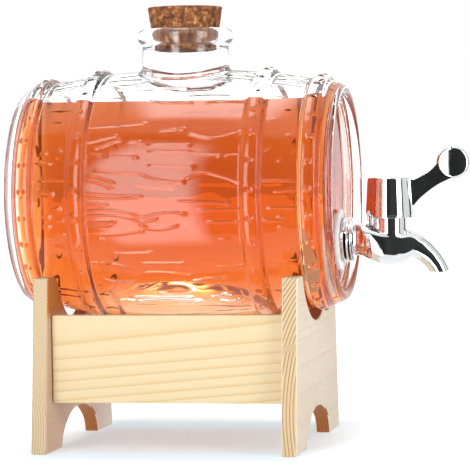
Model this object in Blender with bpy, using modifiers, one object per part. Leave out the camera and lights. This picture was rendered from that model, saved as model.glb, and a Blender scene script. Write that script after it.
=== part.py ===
"""Drinks dispenser: a moulded glass barrel lying on a pine stand, with a cork and a chromed tap.

The barrel lies along X with its tap at +X, Z points up, and the stand's feet are at Z = 0.
All lengths are in metres.
"""

import math

import bmesh
import bpy
from mathutils import Vector

# Clearances and cutting allowances
FIT_GAP = 0.0003
GLASS_HOLE_GAP = 0.0004
CUT_OVERRUN = 0.004
WELD_DISTANCE = 0.00001

# Wooden stand
BOARD_HEIGHT = 0.0767
BOARD_OUTER_PLACE = 0.0588
BOARD_THICKNESS = 0.0068
BOARD_BOTTOM_WIDTH = 0.1210
BOARD_TOP_WIDTH = 0.1046
FOOT_WIDTH = 0.0278
ARCH_HEIGHT = 0.0160
CRADLE_DEPTH = 0.0219
ARCH_STEPS = 11
CRADLE_STEPS = 9
BOARD_EDGE_ROUND = 0.0005
RAIL_FACE_PLACE = 0.0490
RAIL_THICKNESS = 0.0070
RAIL_BOTTOM = 0.0216
RAIL_TOP_DROP = 0.0165
RAIL_EDGE_ROUND = 0.0004
DOWEL_RADIUS = 0.0020
DOWEL_LENGTH = 0.0140
DOWEL_IN_BOARD = 0.0045
DOWEL_INSET = 0.0090
DOWEL_STEPS = 10
RAIL_TOP = BOARD_HEIGHT - RAIL_TOP_DROP

# Glass barrel, lying along X
AXIS_OVER_BOARDS = 0.0353
BARREL_HALF_LENGTH = 0.0733
BARREL_MID_RADIUS = 0.0563
BARREL_END_RADIUS = 0.0486
BARREL_WALL = 0.0040
PAD_THICKNESS = 0.0208
PAD_HALF_LENGTH = 0.0360
PAD_SIDE_RUN = 0.0080
END_RECESS_DEPTH = 0.0047
END_WALL = 0.0048
RIM_BEAD_RADIUS = 0.0024
RECESS_FILLET = 0.0014
INSIDE_CORNER_RADIUS = 0.0050
INSIDE_CORNER_END = math.radians(9.0)
INNER_HOOP_PLACE = 0.0389
OUTER_HOOP_PLACE = 0.0636
HOOP_WIDTH = 0.0090
HOOP_RISE = 0.0025
BARREL_STEPS = 48
BEAD_STEPS = 6
CORNER_STEPS = 3

# Share of the hoop's half width, and share of its rise, from its foot to its crown
HOOP_SECTION_SHARES = ((1.0, 0.0), (0.86, 0.72), (0.42, 1.04))
# Share of the thick base's half length, and share of its thickness there
PAD_SHARES = ((0.0, 1.0), (0.45, 0.95), (1.0, 0.76))

BARREL_AXIS_HEIGHT = BOARD_HEIGHT + AXIS_OVER_BOARDS
BARREL_CROWN = BARREL_AXIS_HEIGHT + BARREL_MID_RADIUS
BARREL_BOTTOM = BARREL_AXIS_HEIGHT - BARREL_MID_RADIUS

# Neck of the barrel
NECK_RADIUS = 0.0196
NECK_BORE_RADIUS = 0.0170
NECK_FLARE = 0.0038
NECK_FLARE_RISE = 0.0004
LIP_RADIUS = 0.02155
LIP_HEIGHT = 0.0073
LIP_OVER_CROWN = 0.0186
LIP_ROUND = 0.0024
NECK_STEPS = 36
LIP_TOP_HEIGHT = BARREL_CROWN + LIP_OVER_CROWN

# Cork
CORK_TOP_RADIUS = 0.01705
CORK_BOTTOM_RADIUS = 0.0140
CORK_OVER_LIP = 0.0098
CORK_LENGTH = 0.0192
CORK_CHAMFER = 0.0006
CORK_TOP_HEIGHT = LIP_TOP_HEIGHT + CORK_OVER_LIP
CORK_BOTTOM_HEIGHT = CORK_TOP_HEIGHT - CORK_LENGTH

# Tap, fastened through the barrel's +X end
TAP_DROP = 0.0213
TAP_AXIS_HEIGHT = BARREL_AXIS_HEIGHT - TAP_DROP
SHANK_RADIUS = 0.0060
SHANK_BORE_RADIUS = 0.0031
SHANK_PAST_NUT = 0.0019
SEAL_RADIUS = 0.0122
SEAL_THICKNESS = 0.0020
SEAL_EDGE_ROUND = 0.0004
COLLAR_RADIUS = 0.0083
COLLAR_LENGTH = 0.0049
COLLAR_GROOVE_DEPTH = 0.0005
NUT_FLATS = 0.0180
NUT_THICKNESS = 0.0050
NUT_CHAMFER = 0.0006

# Share of the collar's length from the tap body, and share of its grooves' depth
COLLAR_SECTION_SHARES = (
    (0.0, 1.0), (0.1, 0.0), (0.3, 0.0), (0.35, 1.0), (0.4, 0.0),
    (0.6, 0.0), (0.65, 1.0), (0.7, 0.0), (0.9, 0.0), (1.0, 1.0),
)

# Places along X of what is clamped on the tap's shank
END_FACE_PLACE = BARREL_HALF_LENGTH - END_RECESS_DEPTH
INSIDE_END_PLACE = END_FACE_PLACE - END_WALL
OUTER_WASHER_PLACE = END_FACE_PLACE + FIT_GAP
COLLAR_PLACE = OUTER_WASHER_PLACE + SEAL_THICKNESS + FIT_GAP
TAP_BODY_PLACE = COLLAR_PLACE + COLLAR_LENGTH + FIT_GAP
INNER_WASHER_PLACE = INSIDE_END_PLACE - FIT_GAP - SEAL_THICKNESS
NUT_PLACE = INNER_WASHER_PLACE - FIT_GAP - NUT_THICKNESS
SHANK_END_PLACE = NUT_PLACE - SHANK_PAST_NUT

# Tap body: a falling bulb that carries an upright neck and ends in a bent spout
VALVE_IN_BODY = 0.0160
VALVE_PLACE = TAP_BODY_PLACE + VALVE_IN_BODY
BULB_LENGTH = 0.0285
BULB_RADIUS = 0.0082
BULB_DROP = 0.0033
SPOUT_REACH = 0.0221
SPOUT_FALL = 0.0145
SPOUT_RADIUS = 0.00625
SPOUT_BORE_RADIUS = 0.0035
TAP_NECK_RADIUS = 0.0077
TAP_NECK_RISE = 0.0157
TAP_NECK_TOP = TAP_AXIS_HEIGHT + TAP_NECK_RISE
PEG_RADIUS = 0.0012
PEG_RISE = 0.0120
PEG_TOP = TAP_AXIS_HEIGHT + PEG_RISE
PEG_PLACE_RADIUS = 0.0094
PEG_FOOT_DEPTH = 0.0040
PEG_STEPS = 12
TUBE_SIDES = 16
TUBE_RESOLUTION = 2
BORE_SIDES = 12

# Along, down and radius shares of the bulb's length, drop and radius
BULB_SHARES = (
    (0.00, 0.00, 0.86),
    (0.13, 0.00, 0.88),
    (0.27, 0.42, 0.97),
    (0.43, 0.84, 1.0),
    (0.60, 1.00, 0.98),
    (0.76, 0.94, 0.88),
    (0.90, 0.85, 0.66),
    (1.00, 0.82, 0.34),
)
# Reach, fall and radius shares of the spout
SPOUT_SHARES = (
    (0.17, 0.105, 1.0),
    (0.37, 0.135, 0.99),
    (0.58, 0.255, 0.87),
    (0.776, 0.49, 0.755),
    (0.916, 0.75, 0.70),
    (1.03, 1.08, 0.68),
)
# Reach, fall and bore shares of the outlet, from under the valve's seat to the mouth
OUTLET_SHARES = (
    (0.0, 0.49, 0.69),
    (0.22, 0.425, 0.72),
    (0.43, 0.33, 0.80),
    (0.60, 0.315, 0.86),
    (0.776, 0.49, 0.92),
    (0.916, 0.75, 0.97),
    (1.10, 1.30, 1.0),
)

# Valve inside the tap's neck
CHAMBER_RADIUS = 0.0050
CHAMBER_DROP = 0.0027
CHAMBER_FLOOR = TAP_AXIS_HEIGHT - CHAMBER_DROP
SEAT_HOLE_RADIUS = 0.0024
VALVE_LIFT = 0.0026
PLUG_RADIUS = 0.0044
PLUG_DISC_HEIGHT = 0.0020
PLUG_WAIST_RADIUS = 0.0034
PLUG_HEIGHT = 0.0057
PLUG_EDGE_ROUND = 0.0005
STEM_TIP_RADIUS = 0.0012
STEM_TIP_LENGTH = 0.0031
STEM_FLANGE_RADIUS = 0.0042
STEM_FLANGE_HEIGHT = 0.0010
STEM_RADIUS = 0.0024
STEM_OVER_NECK = 0.0065
STEM_TOP = TAP_NECK_TOP + STEM_OVER_NECK
BONNET_RADIUS = 0.0057
BONNET_LENGTH = 0.0044
BONNET_FLANGE_RADIUS = 0.0074
BONNET_FLANGE_HEIGHT = 0.0015
O_RING_SECTION = 0.0005
O_RING_GAP = 0.0002
O_RING_DEPTH = 0.0022
O_RING_SIDES = 6
SPRING_MEAN_RADIUS = 0.0036
SPRING_WIRE_RADIUS = 0.00035
SPRING_TURNS = 3.5
SPRING_POINTS_A_TURN = 9
SPRING_BEVEL_STEPS = 1

# Handle: a cap with a cam notch in its skirt and a lever that ends in a dished disc
CAP_DROP = 0.0060
CAP_HEIGHT = 0.0178
CAP_BOTTOM = TAP_NECK_TOP - CAP_DROP
CAP_TOP = CAP_BOTTOM + CAP_HEIGHT
CAP_TOP_RADIUS = 0.0099
CAP_BOTTOM_RADIUS = 0.0109
CAP_INSIDE_RADIUS = 0.0083
CEILING_OVER_NECK = 0.0041
CAP_CEILING = TAP_NECK_TOP + CEILING_OVER_NECK
CAP_EDGE_ROUND = 0.0010
CAP_STEPS = 32
CAP_EDGE_STEPS = 2
HANDLE_TURN = math.radians(60.0)
NOTCH_SIDE_GAP = 0.0004
NOTCH_ANGLE_STEPS = 8
SCREW_RADIUS = 0.0010
SCREW_LENGTH = 0.0081
SCREW_HEAD_RADIUS = 0.0026
SCREW_HEAD_HEIGHT = 0.0015
SCREW_SLOT_WIDTH = 0.0007
SCREW_SLOT_DEPTH = 0.0007
HANDLE_WEB = 0.0020
BUTTON_HEIGHT = 0.0009
STEM_HOLE_DEPTH = 0.0060

# Lever of the handle, a flat blade and its round end, in the upright plane through the barrel's axis
DISC_REACH = 0.0285
DISC_RISE = 0.0190
DISC_RADIUS = 0.0074
DISC_THICKNESS = 0.0046
DISC_EDGE_ROUND = 0.0018
DISC_CROWN = 0.0003
DISC_EDGE_STEPS = 3
BLADE_THICKNESS = 0.0036
BLADE_ROOT_RISE = 0.0053
BLADE_ROOT_WIDTH = 0.0119
BLADE_ROOT_BOTTOM = CAP_BOTTOM + BLADE_ROOT_RISE
DISC_HEIGHT = BLADE_ROOT_BOTTOM + DISC_RISE
DISC_STEPS = 24
# Share of the way from the cap to the disc's centre, and share of the way up from the
# root's bottom to the disc's centre
BLADE_LOWER_SHARES = ((0.0, 0.0), (0.15, 0.16), (0.41, 0.355), (0.65, 0.50), (0.88, 0.60))
BLADE_UPPER_SHARES = ((0.88, 1.32), (0.57, 0.955), (0.41, 0.82), (0.15, 0.685), (0.0, 0.625))

# The model's origin lies on the floor, under the middle of its whole length
LENGTH_CENTRE = (VALVE_PLACE + DISC_REACH + DISC_RADIUS - BARREL_HALF_LENGTH) / 2

SHARP_ANGLE = math.radians(32.0)
ROUND_STEPS = 20
SMALL_STEPS = 16

# Colours (linear), roughness and metallic value
RUBBER = ((0.03, 0.03, 0.03), 0.55, 0.0)
GLASS = ((0.90, 0.94, 0.94), 0.03, 0.0)
PINE = ((0.86, 0.71, 0.47), 0.62, 0.0)
BEECH = ((0.72, 0.52, 0.32), 0.65, 0.0)
CORK = ((0.43, 0.19, 0.075), 0.85, 0.0)
CHROME = ((0.86, 0.87, 0.88), 0.06, 1.0)
STEEL = ((0.55, 0.56, 0.57), 0.28, 1.0)
SILICONE = ((0.84, 0.86, 0.85), 0.42, 0.0)
NYLON = ((0.80, 0.80, 0.77), 0.40, 0.0)


def clear_scene():
    """Empty the file, so that only this object is in it."""
    for item in list(bpy.data.objects):
        bpy.data.objects.remove(item, do_unlink=True)


def new_collection(name):
    """A collection of that name, linked into the scene."""
    collection = bpy.data.collections.new(name)
    bpy.context.scene.collection.children.link(collection)
    return collection


def paint(item, finish):
    """Give a piece its own Principled material."""
    colour, roughness, metallic = finish
    material = bpy.data.materials.new(item.name)
    material.use_nodes = True
    shader = material.node_tree.nodes["Principled BSDF"]
    shader.inputs["Base Color"].default_value = (*colour, 1.0)
    shader.inputs["Roughness"].default_value = roughness
    shader.inputs["Metallic"].default_value = metallic
    if finish is GLASS:
        shader.inputs["Transmission Weight"].default_value = 1.0
        shader.inputs["IOR"].default_value = 1.52
    material.diffuse_color = (*colour, 1.0)
    item.data.materials.clear()
    item.data.materials.append(material)


def settled_mesh(item, name):
    """The item's evaluated shape as a plain mesh, welded and shaded."""
    bpy.context.view_layer.update()
    graph = bpy.context.evaluated_depsgraph_get()
    mesh = bpy.data.meshes.new_from_object(item.evaluated_get(graph))
    mesh.name = name
    work = bmesh.new()
    work.from_mesh(mesh)
    bmesh.ops.remove_doubles(work, verts=work.verts, dist=WELD_DISTANCE)
    work.to_mesh(mesh)
    work.free()
    mesh.shade_smooth()
    mesh.set_sharp_from_angle(angle=SHARP_ANGLE)
    return mesh


def settle(item):
    """Replace a curve, or a mesh with modifiers, by a mesh object of the same shape."""
    mesh = settled_mesh(item, item.name)
    name = item.name
    settled = bpy.data.objects.new(name + "_mesh", mesh)
    item.users_collection[0].objects.link(settled)
    settled.matrix_world = item.matrix_world.copy()
    bpy.data.objects.remove(item, do_unlink=True)
    settled.name = name
    return settled


def turned(name, profile, steps, collection, ring=False):
    """A turned piece about local Z. The profile's (radius, height) points run down its outer side."""
    mesh = bpy.data.meshes.new(name)
    points = [(radius, 0.0, height) for radius, height in profile]
    edges = [(index, index + 1) for index in range(len(points) - 1)]
    if ring:
        edges.append((len(points) - 1, 0))
    mesh.from_pydata(points, edges, [])
    item = bpy.data.objects.new(name, mesh)
    collection.objects.link(item)
    screw = item.modifiers.new("turn", "SCREW")
    screw.axis = "Z"
    screw.angle = math.tau
    screw.steps = steps
    screw.render_steps = steps
    screw.use_merge_vertices = True
    screw.merge_threshold = WELD_DISTANCE
    return settle(item)


def cylinder(name, radius, bottom, top, steps, collection):
    """A plain round bar along local Z."""
    return turned(name, ((0.0, top), (radius, top), (radius, bottom), (0.0, bottom)), steps, collection)


def block(name, low, high, collection):
    """A box between two corners."""
    mesh = bpy.data.meshes.new(name)
    work = bmesh.new()
    bmesh.ops.create_cube(work, size=1.0)
    size = [b - a for a, b in zip(low, high)]
    bmesh.ops.scale(work, vec=size, verts=work.verts)
    work.to_mesh(mesh)
    work.free()
    item = bpy.data.objects.new(name, mesh)
    item.location = [(a + b) / 2 for a, b in zip(low, high)]
    collection.objects.link(item)
    return item


def flat_piece(name, outline, thickness, rotation, location, collection):
    """A flat piece of even thickness, filled from a closed outline."""
    data = bpy.data.curves.new(name, "CURVE")
    data.dimensions = "2D"
    data.fill_mode = "BOTH"
    data.extrude = thickness / 2
    spline = data.splines.new("POLY")
    spline.points.add(len(outline) - 1)
    for point, (across, up) in zip(spline.points, outline):
        point.co = (across, up, 0.0, 1.0)
    spline.use_cyclic_u = True
    item = bpy.data.objects.new(name, data)
    item.rotation_euler = rotation
    item.location = location
    collection.objects.link(item)
    return settle(item)


def tube(name, points, side_steps, collection):
    """A round tube on a smooth curve through (place, radius) points, with filled ends."""
    data = bpy.data.curves.new(name, "CURVE")
    data.dimensions = "3D"
    data.bevel_depth = 1.0
    data.bevel_resolution = (side_steps - 4) // 2
    data.use_fill_caps = True
    data.resolution_u = TUBE_RESOLUTION
    spline = data.splines.new("BEZIER")
    spline.bezier_points.add(len(points) - 1)
    for knot, (place, radius) in zip(spline.bezier_points, points):
        knot.co = place
        knot.radius = radius
        knot.handle_left_type = "AUTO"
        knot.handle_right_type = "AUTO"
    item = bpy.data.objects.new(name, data)
    collection.objects.link(item)
    return settle(item)


def hide_cutter(item):
    """Mark a guide shape, which isn't a piece of the object."""
    item.hide_render = True
    item.display_type = "WIRE"


def combine(item, tool, operation, solver="EXACT"):
    """Cut a piece with a tool, or join the tool's shape to it."""
    modifier = item.modifiers.new(tool.name, "BOOLEAN")
    modifier.operation = operation
    modifier.solver = solver
    modifier.object = tool
    hide_cutter(tool)


def round_edges(item, width):
    """Take the sharp edges off a piece."""
    bevel = item.modifiers.new("rounded_edges", "BEVEL")
    bevel.width = width
    bevel.segments = 1
    bevel.limit_method = "ANGLE"
    bevel.angle_limit = SHARP_ANGLE


def arc(centre, radius, start, end, steps):
    """Points of an arc, its angles counted from the first axis, both ends included."""
    points = []
    for index in range(steps + 1):
        angle = start + (end - start) * index / steps
        points.append((centre[0] + radius * math.cos(angle), centre[1] + radius * math.sin(angle)))
    return points


def attach(item, parent):
    """Parent a piece and keep it where it stands."""
    item.parent = parent
    item.matrix_parent_inverse = parent.matrix_world.inverted()


def axis_marker(name, location, parent, collection):
    """An empty on a joint's axis, which carries the pieces that move there."""
    marker = bpy.data.objects.new(name, None)
    marker.empty_display_size = BARREL_END_RADIUS / 2
    marker.location = location
    collection.objects.link(marker)
    bpy.context.view_layer.update()
    if parent is not None:
        attach(marker, parent)
        bpy.context.view_layer.update()
    return marker


def barrel_radius(place):
    """Outside radius of the bulged glass at a distance from the barrel's middle."""
    share = place / BARREL_HALF_LENGTH
    return BARREL_MID_RADIUS - (BARREL_MID_RADIUS - BARREL_END_RADIUS) * share * share


def hoop_points(place):
    """Section of one moulded hoop, from its outer foot over the crown to its inner foot."""
    half = HOOP_WIDTH / 2
    outer = [(place + half * across, HOOP_RISE * rise) for across, rise in HOOP_SECTION_SHARES]
    inner = [(place - half * across, HOOP_RISE * rise) for across, rise in reversed(HOOP_SECTION_SHARES)]
    return [(barrel_radius(along) + rise, along) for along, rise in outer + inner]


def barrel_outside():
    """Half of the barrel's outside profile, from the +X end's centre to the middle."""
    face = END_FACE_PLACE
    recess = BARREL_END_RADIUS - 2 * RIM_BEAD_RADIUS
    fillet = arc((recess - RECESS_FILLET, face + RECESS_FILLET), RECESS_FILLET, -math.pi / 2, 0.0, 1)
    bead_centre = (BARREL_END_RADIUS - RIM_BEAD_RADIUS, BARREL_HALF_LENGTH - RIM_BEAD_RADIUS)
    bead = arc(bead_centre, RIM_BEAD_RADIUS, math.pi, 0.0, BEAD_STEPS)
    between = (INNER_HOOP_PLACE + OUTER_HOOP_PLACE) / 2
    points = [(0.0, face)] + fillet + bead
    points += hoop_points(OUTER_HOOP_PLACE)
    points += [(barrel_radius(between), between)]
    points += hoop_points(INNER_HOOP_PLACE)
    points += [(barrel_radius(INNER_HOOP_PLACE / 2), INNER_HOOP_PLACE / 2)]
    return points


def barrel_inside():
    """Half of the cavity's profile, from the +X end's centre to the middle."""
    end = INSIDE_END_PLACE
    corner_radius = barrel_radius(end) - BARREL_WALL - INSIDE_CORNER_RADIUS
    corner = arc((corner_radius, end - INSIDE_CORNER_RADIUS), INSIDE_CORNER_RADIUS, math.pi / 2,
                 INSIDE_CORNER_END, CORNER_STEPS)
    points = [(0.0, end)] + corner
    points += [(barrel_radius(end / 2) - BARREL_WALL, end / 2)]
    return points


def pad_outline():
    """Side view of the thick base between the inner hoops, its heights counted from the barrel's bottom."""
    half = [(PAD_HALF_LENGTH * along, PAD_THICKNESS * up) for along, up in PAD_SHARES]
    half.append((PAD_HALF_LENGTH + PAD_SIDE_RUN, -CUT_OVERRUN))
    return half + [(-along, up) for along, up in reversed(half[1:])]


def both_ends(half, middle):
    """A whole profile from its +X half and its middle point."""
    return half + [middle] + [(radius, -along) for radius, along in reversed(half)]


def lay_along_x(item, height):
    """Turn a piece's local Z to +X and lift it to its axis."""
    item.rotation_euler = (0.0, math.pi / 2, 0.0)
    item.location = (0.0, 0.0, height)
    bpy.context.view_layer.update()


def cork_radius(height):
    """Radius of the tapered cork at a height."""
    share = (height - CORK_BOTTOM_HEIGHT) / (CORK_TOP_HEIGHT - CORK_BOTTOM_HEIGHT)
    return CORK_BOTTOM_RADIUS + (CORK_TOP_RADIUS - CORK_BOTTOM_RADIUS) * share


def make_barrel(parts, cutters):
    """The moulded glass barrel: hoops, recessed ends, neck, thick base and tap hole."""
    outside = both_ends(barrel_outside(), (BARREL_MID_RADIUS, 0.0))
    barrel = turned("glass_barrel", outside, BARREL_STEPS, parts)
    lay_along_x(barrel, BARREL_AXIS_HEIGHT)

    lip_bottom = LIP_TOP_HEIGHT - LIP_HEIGHT
    lip_centre = LIP_RADIUS - LIP_ROUND
    lip = arc((lip_centre, LIP_TOP_HEIGHT - LIP_ROUND), LIP_ROUND, math.pi / 2, 0.0, CORNER_STEPS)
    lip += arc((lip_centre, lip_bottom + LIP_ROUND), LIP_ROUND, 0.0, -math.pi / 2, CORNER_STEPS)
    flare_top = BARREL_CROWN + NECK_FLARE_RISE
    flare = arc((NECK_RADIUS + NECK_FLARE, flare_top), NECK_FLARE, math.pi, 1.5 * math.pi, CORNER_STEPS)
    neck_foot = BARREL_AXIS_HEIGHT + BARREL_MID_RADIUS / 2
    neck_profile = [(0.0, LIP_TOP_HEIGHT)] + lip + [(NECK_RADIUS, lip_bottom)] + flare
    neck_profile += [(NECK_RADIUS + NECK_FLARE, neck_foot), (0.0, neck_foot)]
    neck = turned("neck_outside", neck_profile, NECK_STEPS, cutters)

    cavity = turned("cavity", both_ends(barrel_inside(), (BARREL_MID_RADIUS - BARREL_WALL, 0.0)),
                    BARREL_STEPS, cutters)
    lay_along_x(cavity, BARREL_AXIS_HEIGHT)
    thick_base = flat_piece("thick_base", pad_outline(), 2 * BARREL_MID_RADIUS, (math.pi / 2, 0.0, 0.0),
                            (0.0, 0.0, BARREL_BOTTOM), cutters)
    combine(cavity, thick_base, "DIFFERENCE")

    mouth_radius = cork_radius(LIP_TOP_HEIGHT) + FIT_GAP
    bore_profile = [
        (0.0, LIP_TOP_HEIGHT + CUT_OVERRUN),
        (mouth_radius, LIP_TOP_HEIGHT + CUT_OVERRUN),
        (mouth_radius, lip_bottom + LIP_ROUND),
        (NECK_BORE_RADIUS, lip_bottom - LIP_ROUND),
        (NECK_BORE_RADIUS, neck_foot),
        (0.0, neck_foot),
    ]
    bore = turned("neck_bore", bore_profile, NECK_STEPS, cutters)
    hole_start = INSIDE_END_PLACE - CUT_OVERRUN
    tap_hole = cylinder("tap_hole", SHANK_RADIUS + GLASS_HOLE_GAP, hole_start,
                        BARREL_HALF_LENGTH, ROUND_STEPS, cutters)
    lay_along_x(tap_hole, TAP_AXIS_HEIGHT)

    combine(barrel, neck, "UNION")
    combine(barrel, cavity, "DIFFERENCE")
    combine(barrel, bore, "DIFFERENCE")
    combine(barrel, tap_hole, "DIFFERENCE")
    paint(barrel, GLASS)
    return barrel


def make_cork(parts):
    """The tapered cork, wedged in the lip."""
    chamfer = CORK_CHAMFER
    profile = [
        (0.0, CORK_TOP_HEIGHT),
        (CORK_TOP_RADIUS - chamfer, CORK_TOP_HEIGHT),
        (cork_radius(CORK_TOP_HEIGHT - chamfer), CORK_TOP_HEIGHT - chamfer),
        (cork_radius(CORK_BOTTOM_HEIGHT + chamfer), CORK_BOTTOM_HEIGHT + chamfer),
        (CORK_BOTTOM_RADIUS - chamfer, CORK_BOTTOM_HEIGHT),
        (0.0, CORK_BOTTOM_HEIGHT),
    ]
    cork = turned("cork_stopper", profile, NECK_STEPS, parts)
    paint(cork, CORK)
    return cork


def board_outline():
    """End board seen along X: arched feet, leaning sides, horns and the barrel's cradle."""
    arch_half = BOARD_BOTTOM_WIDTH / 2 - FOOT_WIDTH
    arch = []
    for index in range(ARCH_STEPS + 1):
        angle = math.pi / 2 * (1 - index / ARCH_STEPS)
        arch.append((arch_half * math.cos(angle), ARCH_HEIGHT * math.sin(angle)))
    inner_place = BOARD_OUTER_PLACE - BOARD_THICKNESS
    seat_radius = barrel_radius(inner_place) + FIT_GAP
    horn = math.sqrt(seat_radius ** 2 - (BARREL_AXIS_HEIGHT - BOARD_HEIGHT) ** 2)
    radius = (horn ** 2 + CRADLE_DEPTH ** 2) / (2 * CRADLE_DEPTH)
    centre = BOARD_HEIGHT - CRADLE_DEPTH + radius
    tip = math.asin((BOARD_HEIGHT - centre) / radius)
    cradle = arc((0.0, centre), radius, tip, -math.pi / 2, CRADLE_STEPS)
    half = arch
    half += [(BOARD_BOTTOM_WIDTH / 2, 0.0), (BOARD_TOP_WIDTH / 2, BOARD_HEIGHT)]
    half += cradle
    other = [(-across, up) for across, up in reversed(half[1:-1])]
    return half + other


def dowel_places():
    """Name, X side, Y side and height of each glued dowel."""
    places = []
    levels = (("lower", RAIL_BOTTOM + DOWEL_INSET), ("upper", RAIL_TOP - DOWEL_INSET))
    for rail_name, side in (("front", -1), ("back", 1)):
        for board_name, end in (("left", -1), ("right", 1)):
            for level_name, height in levels:
                places.append((f"{rail_name}_{board_name}_{level_name}", end, side, height))
    return places


def dowel_bar(name, end, side, height, radius, gap, collection):
    """A round bar across the joint between a board and a rail, lengthened by a gap at each end."""
    inner_place = BOARD_OUTER_PLACE - BOARD_THICKNESS
    far = inner_place + DOWEL_IN_BOARD + gap
    near = inner_place + DOWEL_IN_BOARD - DOWEL_LENGTH - gap
    bar = cylinder(name, radius, near, far, DOWEL_STEPS, collection)
    bar.rotation_euler = (0.0, end * math.pi / 2, 0.0)
    bar.location = (0.0, side * (RAIL_FACE_PLACE - RAIL_THICKNESS / 2), height)
    bpy.context.view_layer.update()
    return bar


def make_stand(parts, cutters):
    """Two end boards, two rails between them and the hidden dowels."""
    inner_place = BOARD_OUTER_PLACE - BOARD_THICKNESS
    outline = board_outline()
    pieces = {}
    for name, end in (("end_board_left", -1), ("end_board_right", 1)):
        middle = end * (BOARD_OUTER_PLACE - BOARD_THICKNESS / 2)
        board = flat_piece(name, outline, BOARD_THICKNESS, (math.pi / 2, 0.0, math.pi / 2),
                           (middle, 0.0, 0.0), parts)
        round_edges(board, BOARD_EDGE_ROUND)
        pieces[name] = board
    rail_half = inner_place - FIT_GAP
    for name, side in (("rail_front", -1), ("rail_back", 1)):
        near, far = sorted((side * RAIL_FACE_PLACE, side * (RAIL_FACE_PLACE - RAIL_THICKNESS)))
        rail = block(name, (-rail_half, near, RAIL_BOTTOM), (rail_half, far, RAIL_TOP), parts)
        round_edges(rail, RAIL_EDGE_ROUND)
        pieces[name] = rail
    for place, end, side, height in dowel_places():
        dowel = dowel_bar("dowel_" + place, end, side, height, DOWEL_RADIUS, 0.0, parts)
        paint(dowel, BEECH)
        hole = dowel_bar("dowel_hole_" + place, end, side, height, DOWEL_RADIUS + FIT_GAP, FIT_GAP, cutters)
        combine(pieces["end_board_left" if end < 0 else "end_board_right"], hole, "DIFFERENCE")
        combine(pieces["rail_front" if side < 0 else "rail_back"], hole, "DIFFERENCE")
        pieces["dowel_" + place] = dowel
    for name in ("end_board_left", "end_board_right", "rail_front", "rail_back"):
        paint(pieces[name], PINE)
    return list(pieces.values())


def washer(name, start, parts):
    """A flat sealing washer on the shank, from a place along X."""
    inner = SHANK_RADIUS + FIT_GAP
    end = start + SEAL_THICKNESS
    edge = SEAL_EDGE_ROUND
    profile = [
        (inner, end), (SEAL_RADIUS - edge, end), (SEAL_RADIUS, end - edge),
        (SEAL_RADIUS, start + edge), (SEAL_RADIUS - edge, start), (inner, start),
    ]
    item = turned(name, profile, ROUND_STEPS, parts, ring=True)
    lay_along_x(item, TAP_AXIS_HEIGHT)
    paint(item, SILICONE)
    return item


def make_collar(parts):
    """The chromed collar between the tap body and the outer washer, with two grooves."""
    inner = SHANK_RADIUS + FIT_GAP
    end = COLLAR_PLACE + COLLAR_LENGTH
    profile = [(inner, end)]
    for along, depth in COLLAR_SECTION_SHARES:
        profile.append((COLLAR_RADIUS - COLLAR_GROOVE_DEPTH * depth, end - COLLAR_LENGTH * along))
    profile.append((inner, COLLAR_PLACE))
    item = turned("tap_collar", profile, ROUND_STEPS, parts, ring=True)
    lay_along_x(item, TAP_AXIS_HEIGHT)
    paint(item, CHROME)
    return item


def make_nut(parts, cutters):
    """The hexagonal nut that clamps the tap from inside the barrel."""
    start = NUT_PLACE
    corner = NUT_FLATS / math.sqrt(3)
    item = cylinder("lock_nut", corner, start, start + NUT_THICKNESS, 6, parts)
    lay_along_x(item, TAP_AXIS_HEIGHT)
    chamfer = [
        (0.0, start + NUT_THICKNESS),
        (corner - NUT_CHAMFER, start + NUT_THICKNESS),
        (corner + NUT_CHAMFER, start + NUT_THICKNESS - NUT_CHAMFER),
        (corner + NUT_CHAMFER, start + NUT_CHAMFER),
        (corner - NUT_CHAMFER, start),
        (0.0, start),
    ]
    rounding = turned("nut_rounding", chamfer, ROUND_STEPS, cutters)
    lay_along_x(rounding, TAP_AXIS_HEIGHT)
    combine(item, rounding, "INTERSECT")
    hole = cylinder("nut_hole", SHANK_RADIUS + FIT_GAP, start - CUT_OVERRUN,
                    start + NUT_THICKNESS + CUT_OVERRUN, ROUND_STEPS, cutters)
    lay_along_x(hole, TAP_AXIS_HEIGHT)
    combine(item, hole, "DIFFERENCE")
    paint(item, NYLON)
    return item


def shared_path(shares, start, reach, height, fall, radius):
    """(Place, radius) points in the upright plane through the tap, from a table of shares."""
    points = []
    for along, down, size in shares:
        points.append((Vector((start + reach * along, 0.0, height - fall * down)), radius * size))
    return points


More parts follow.
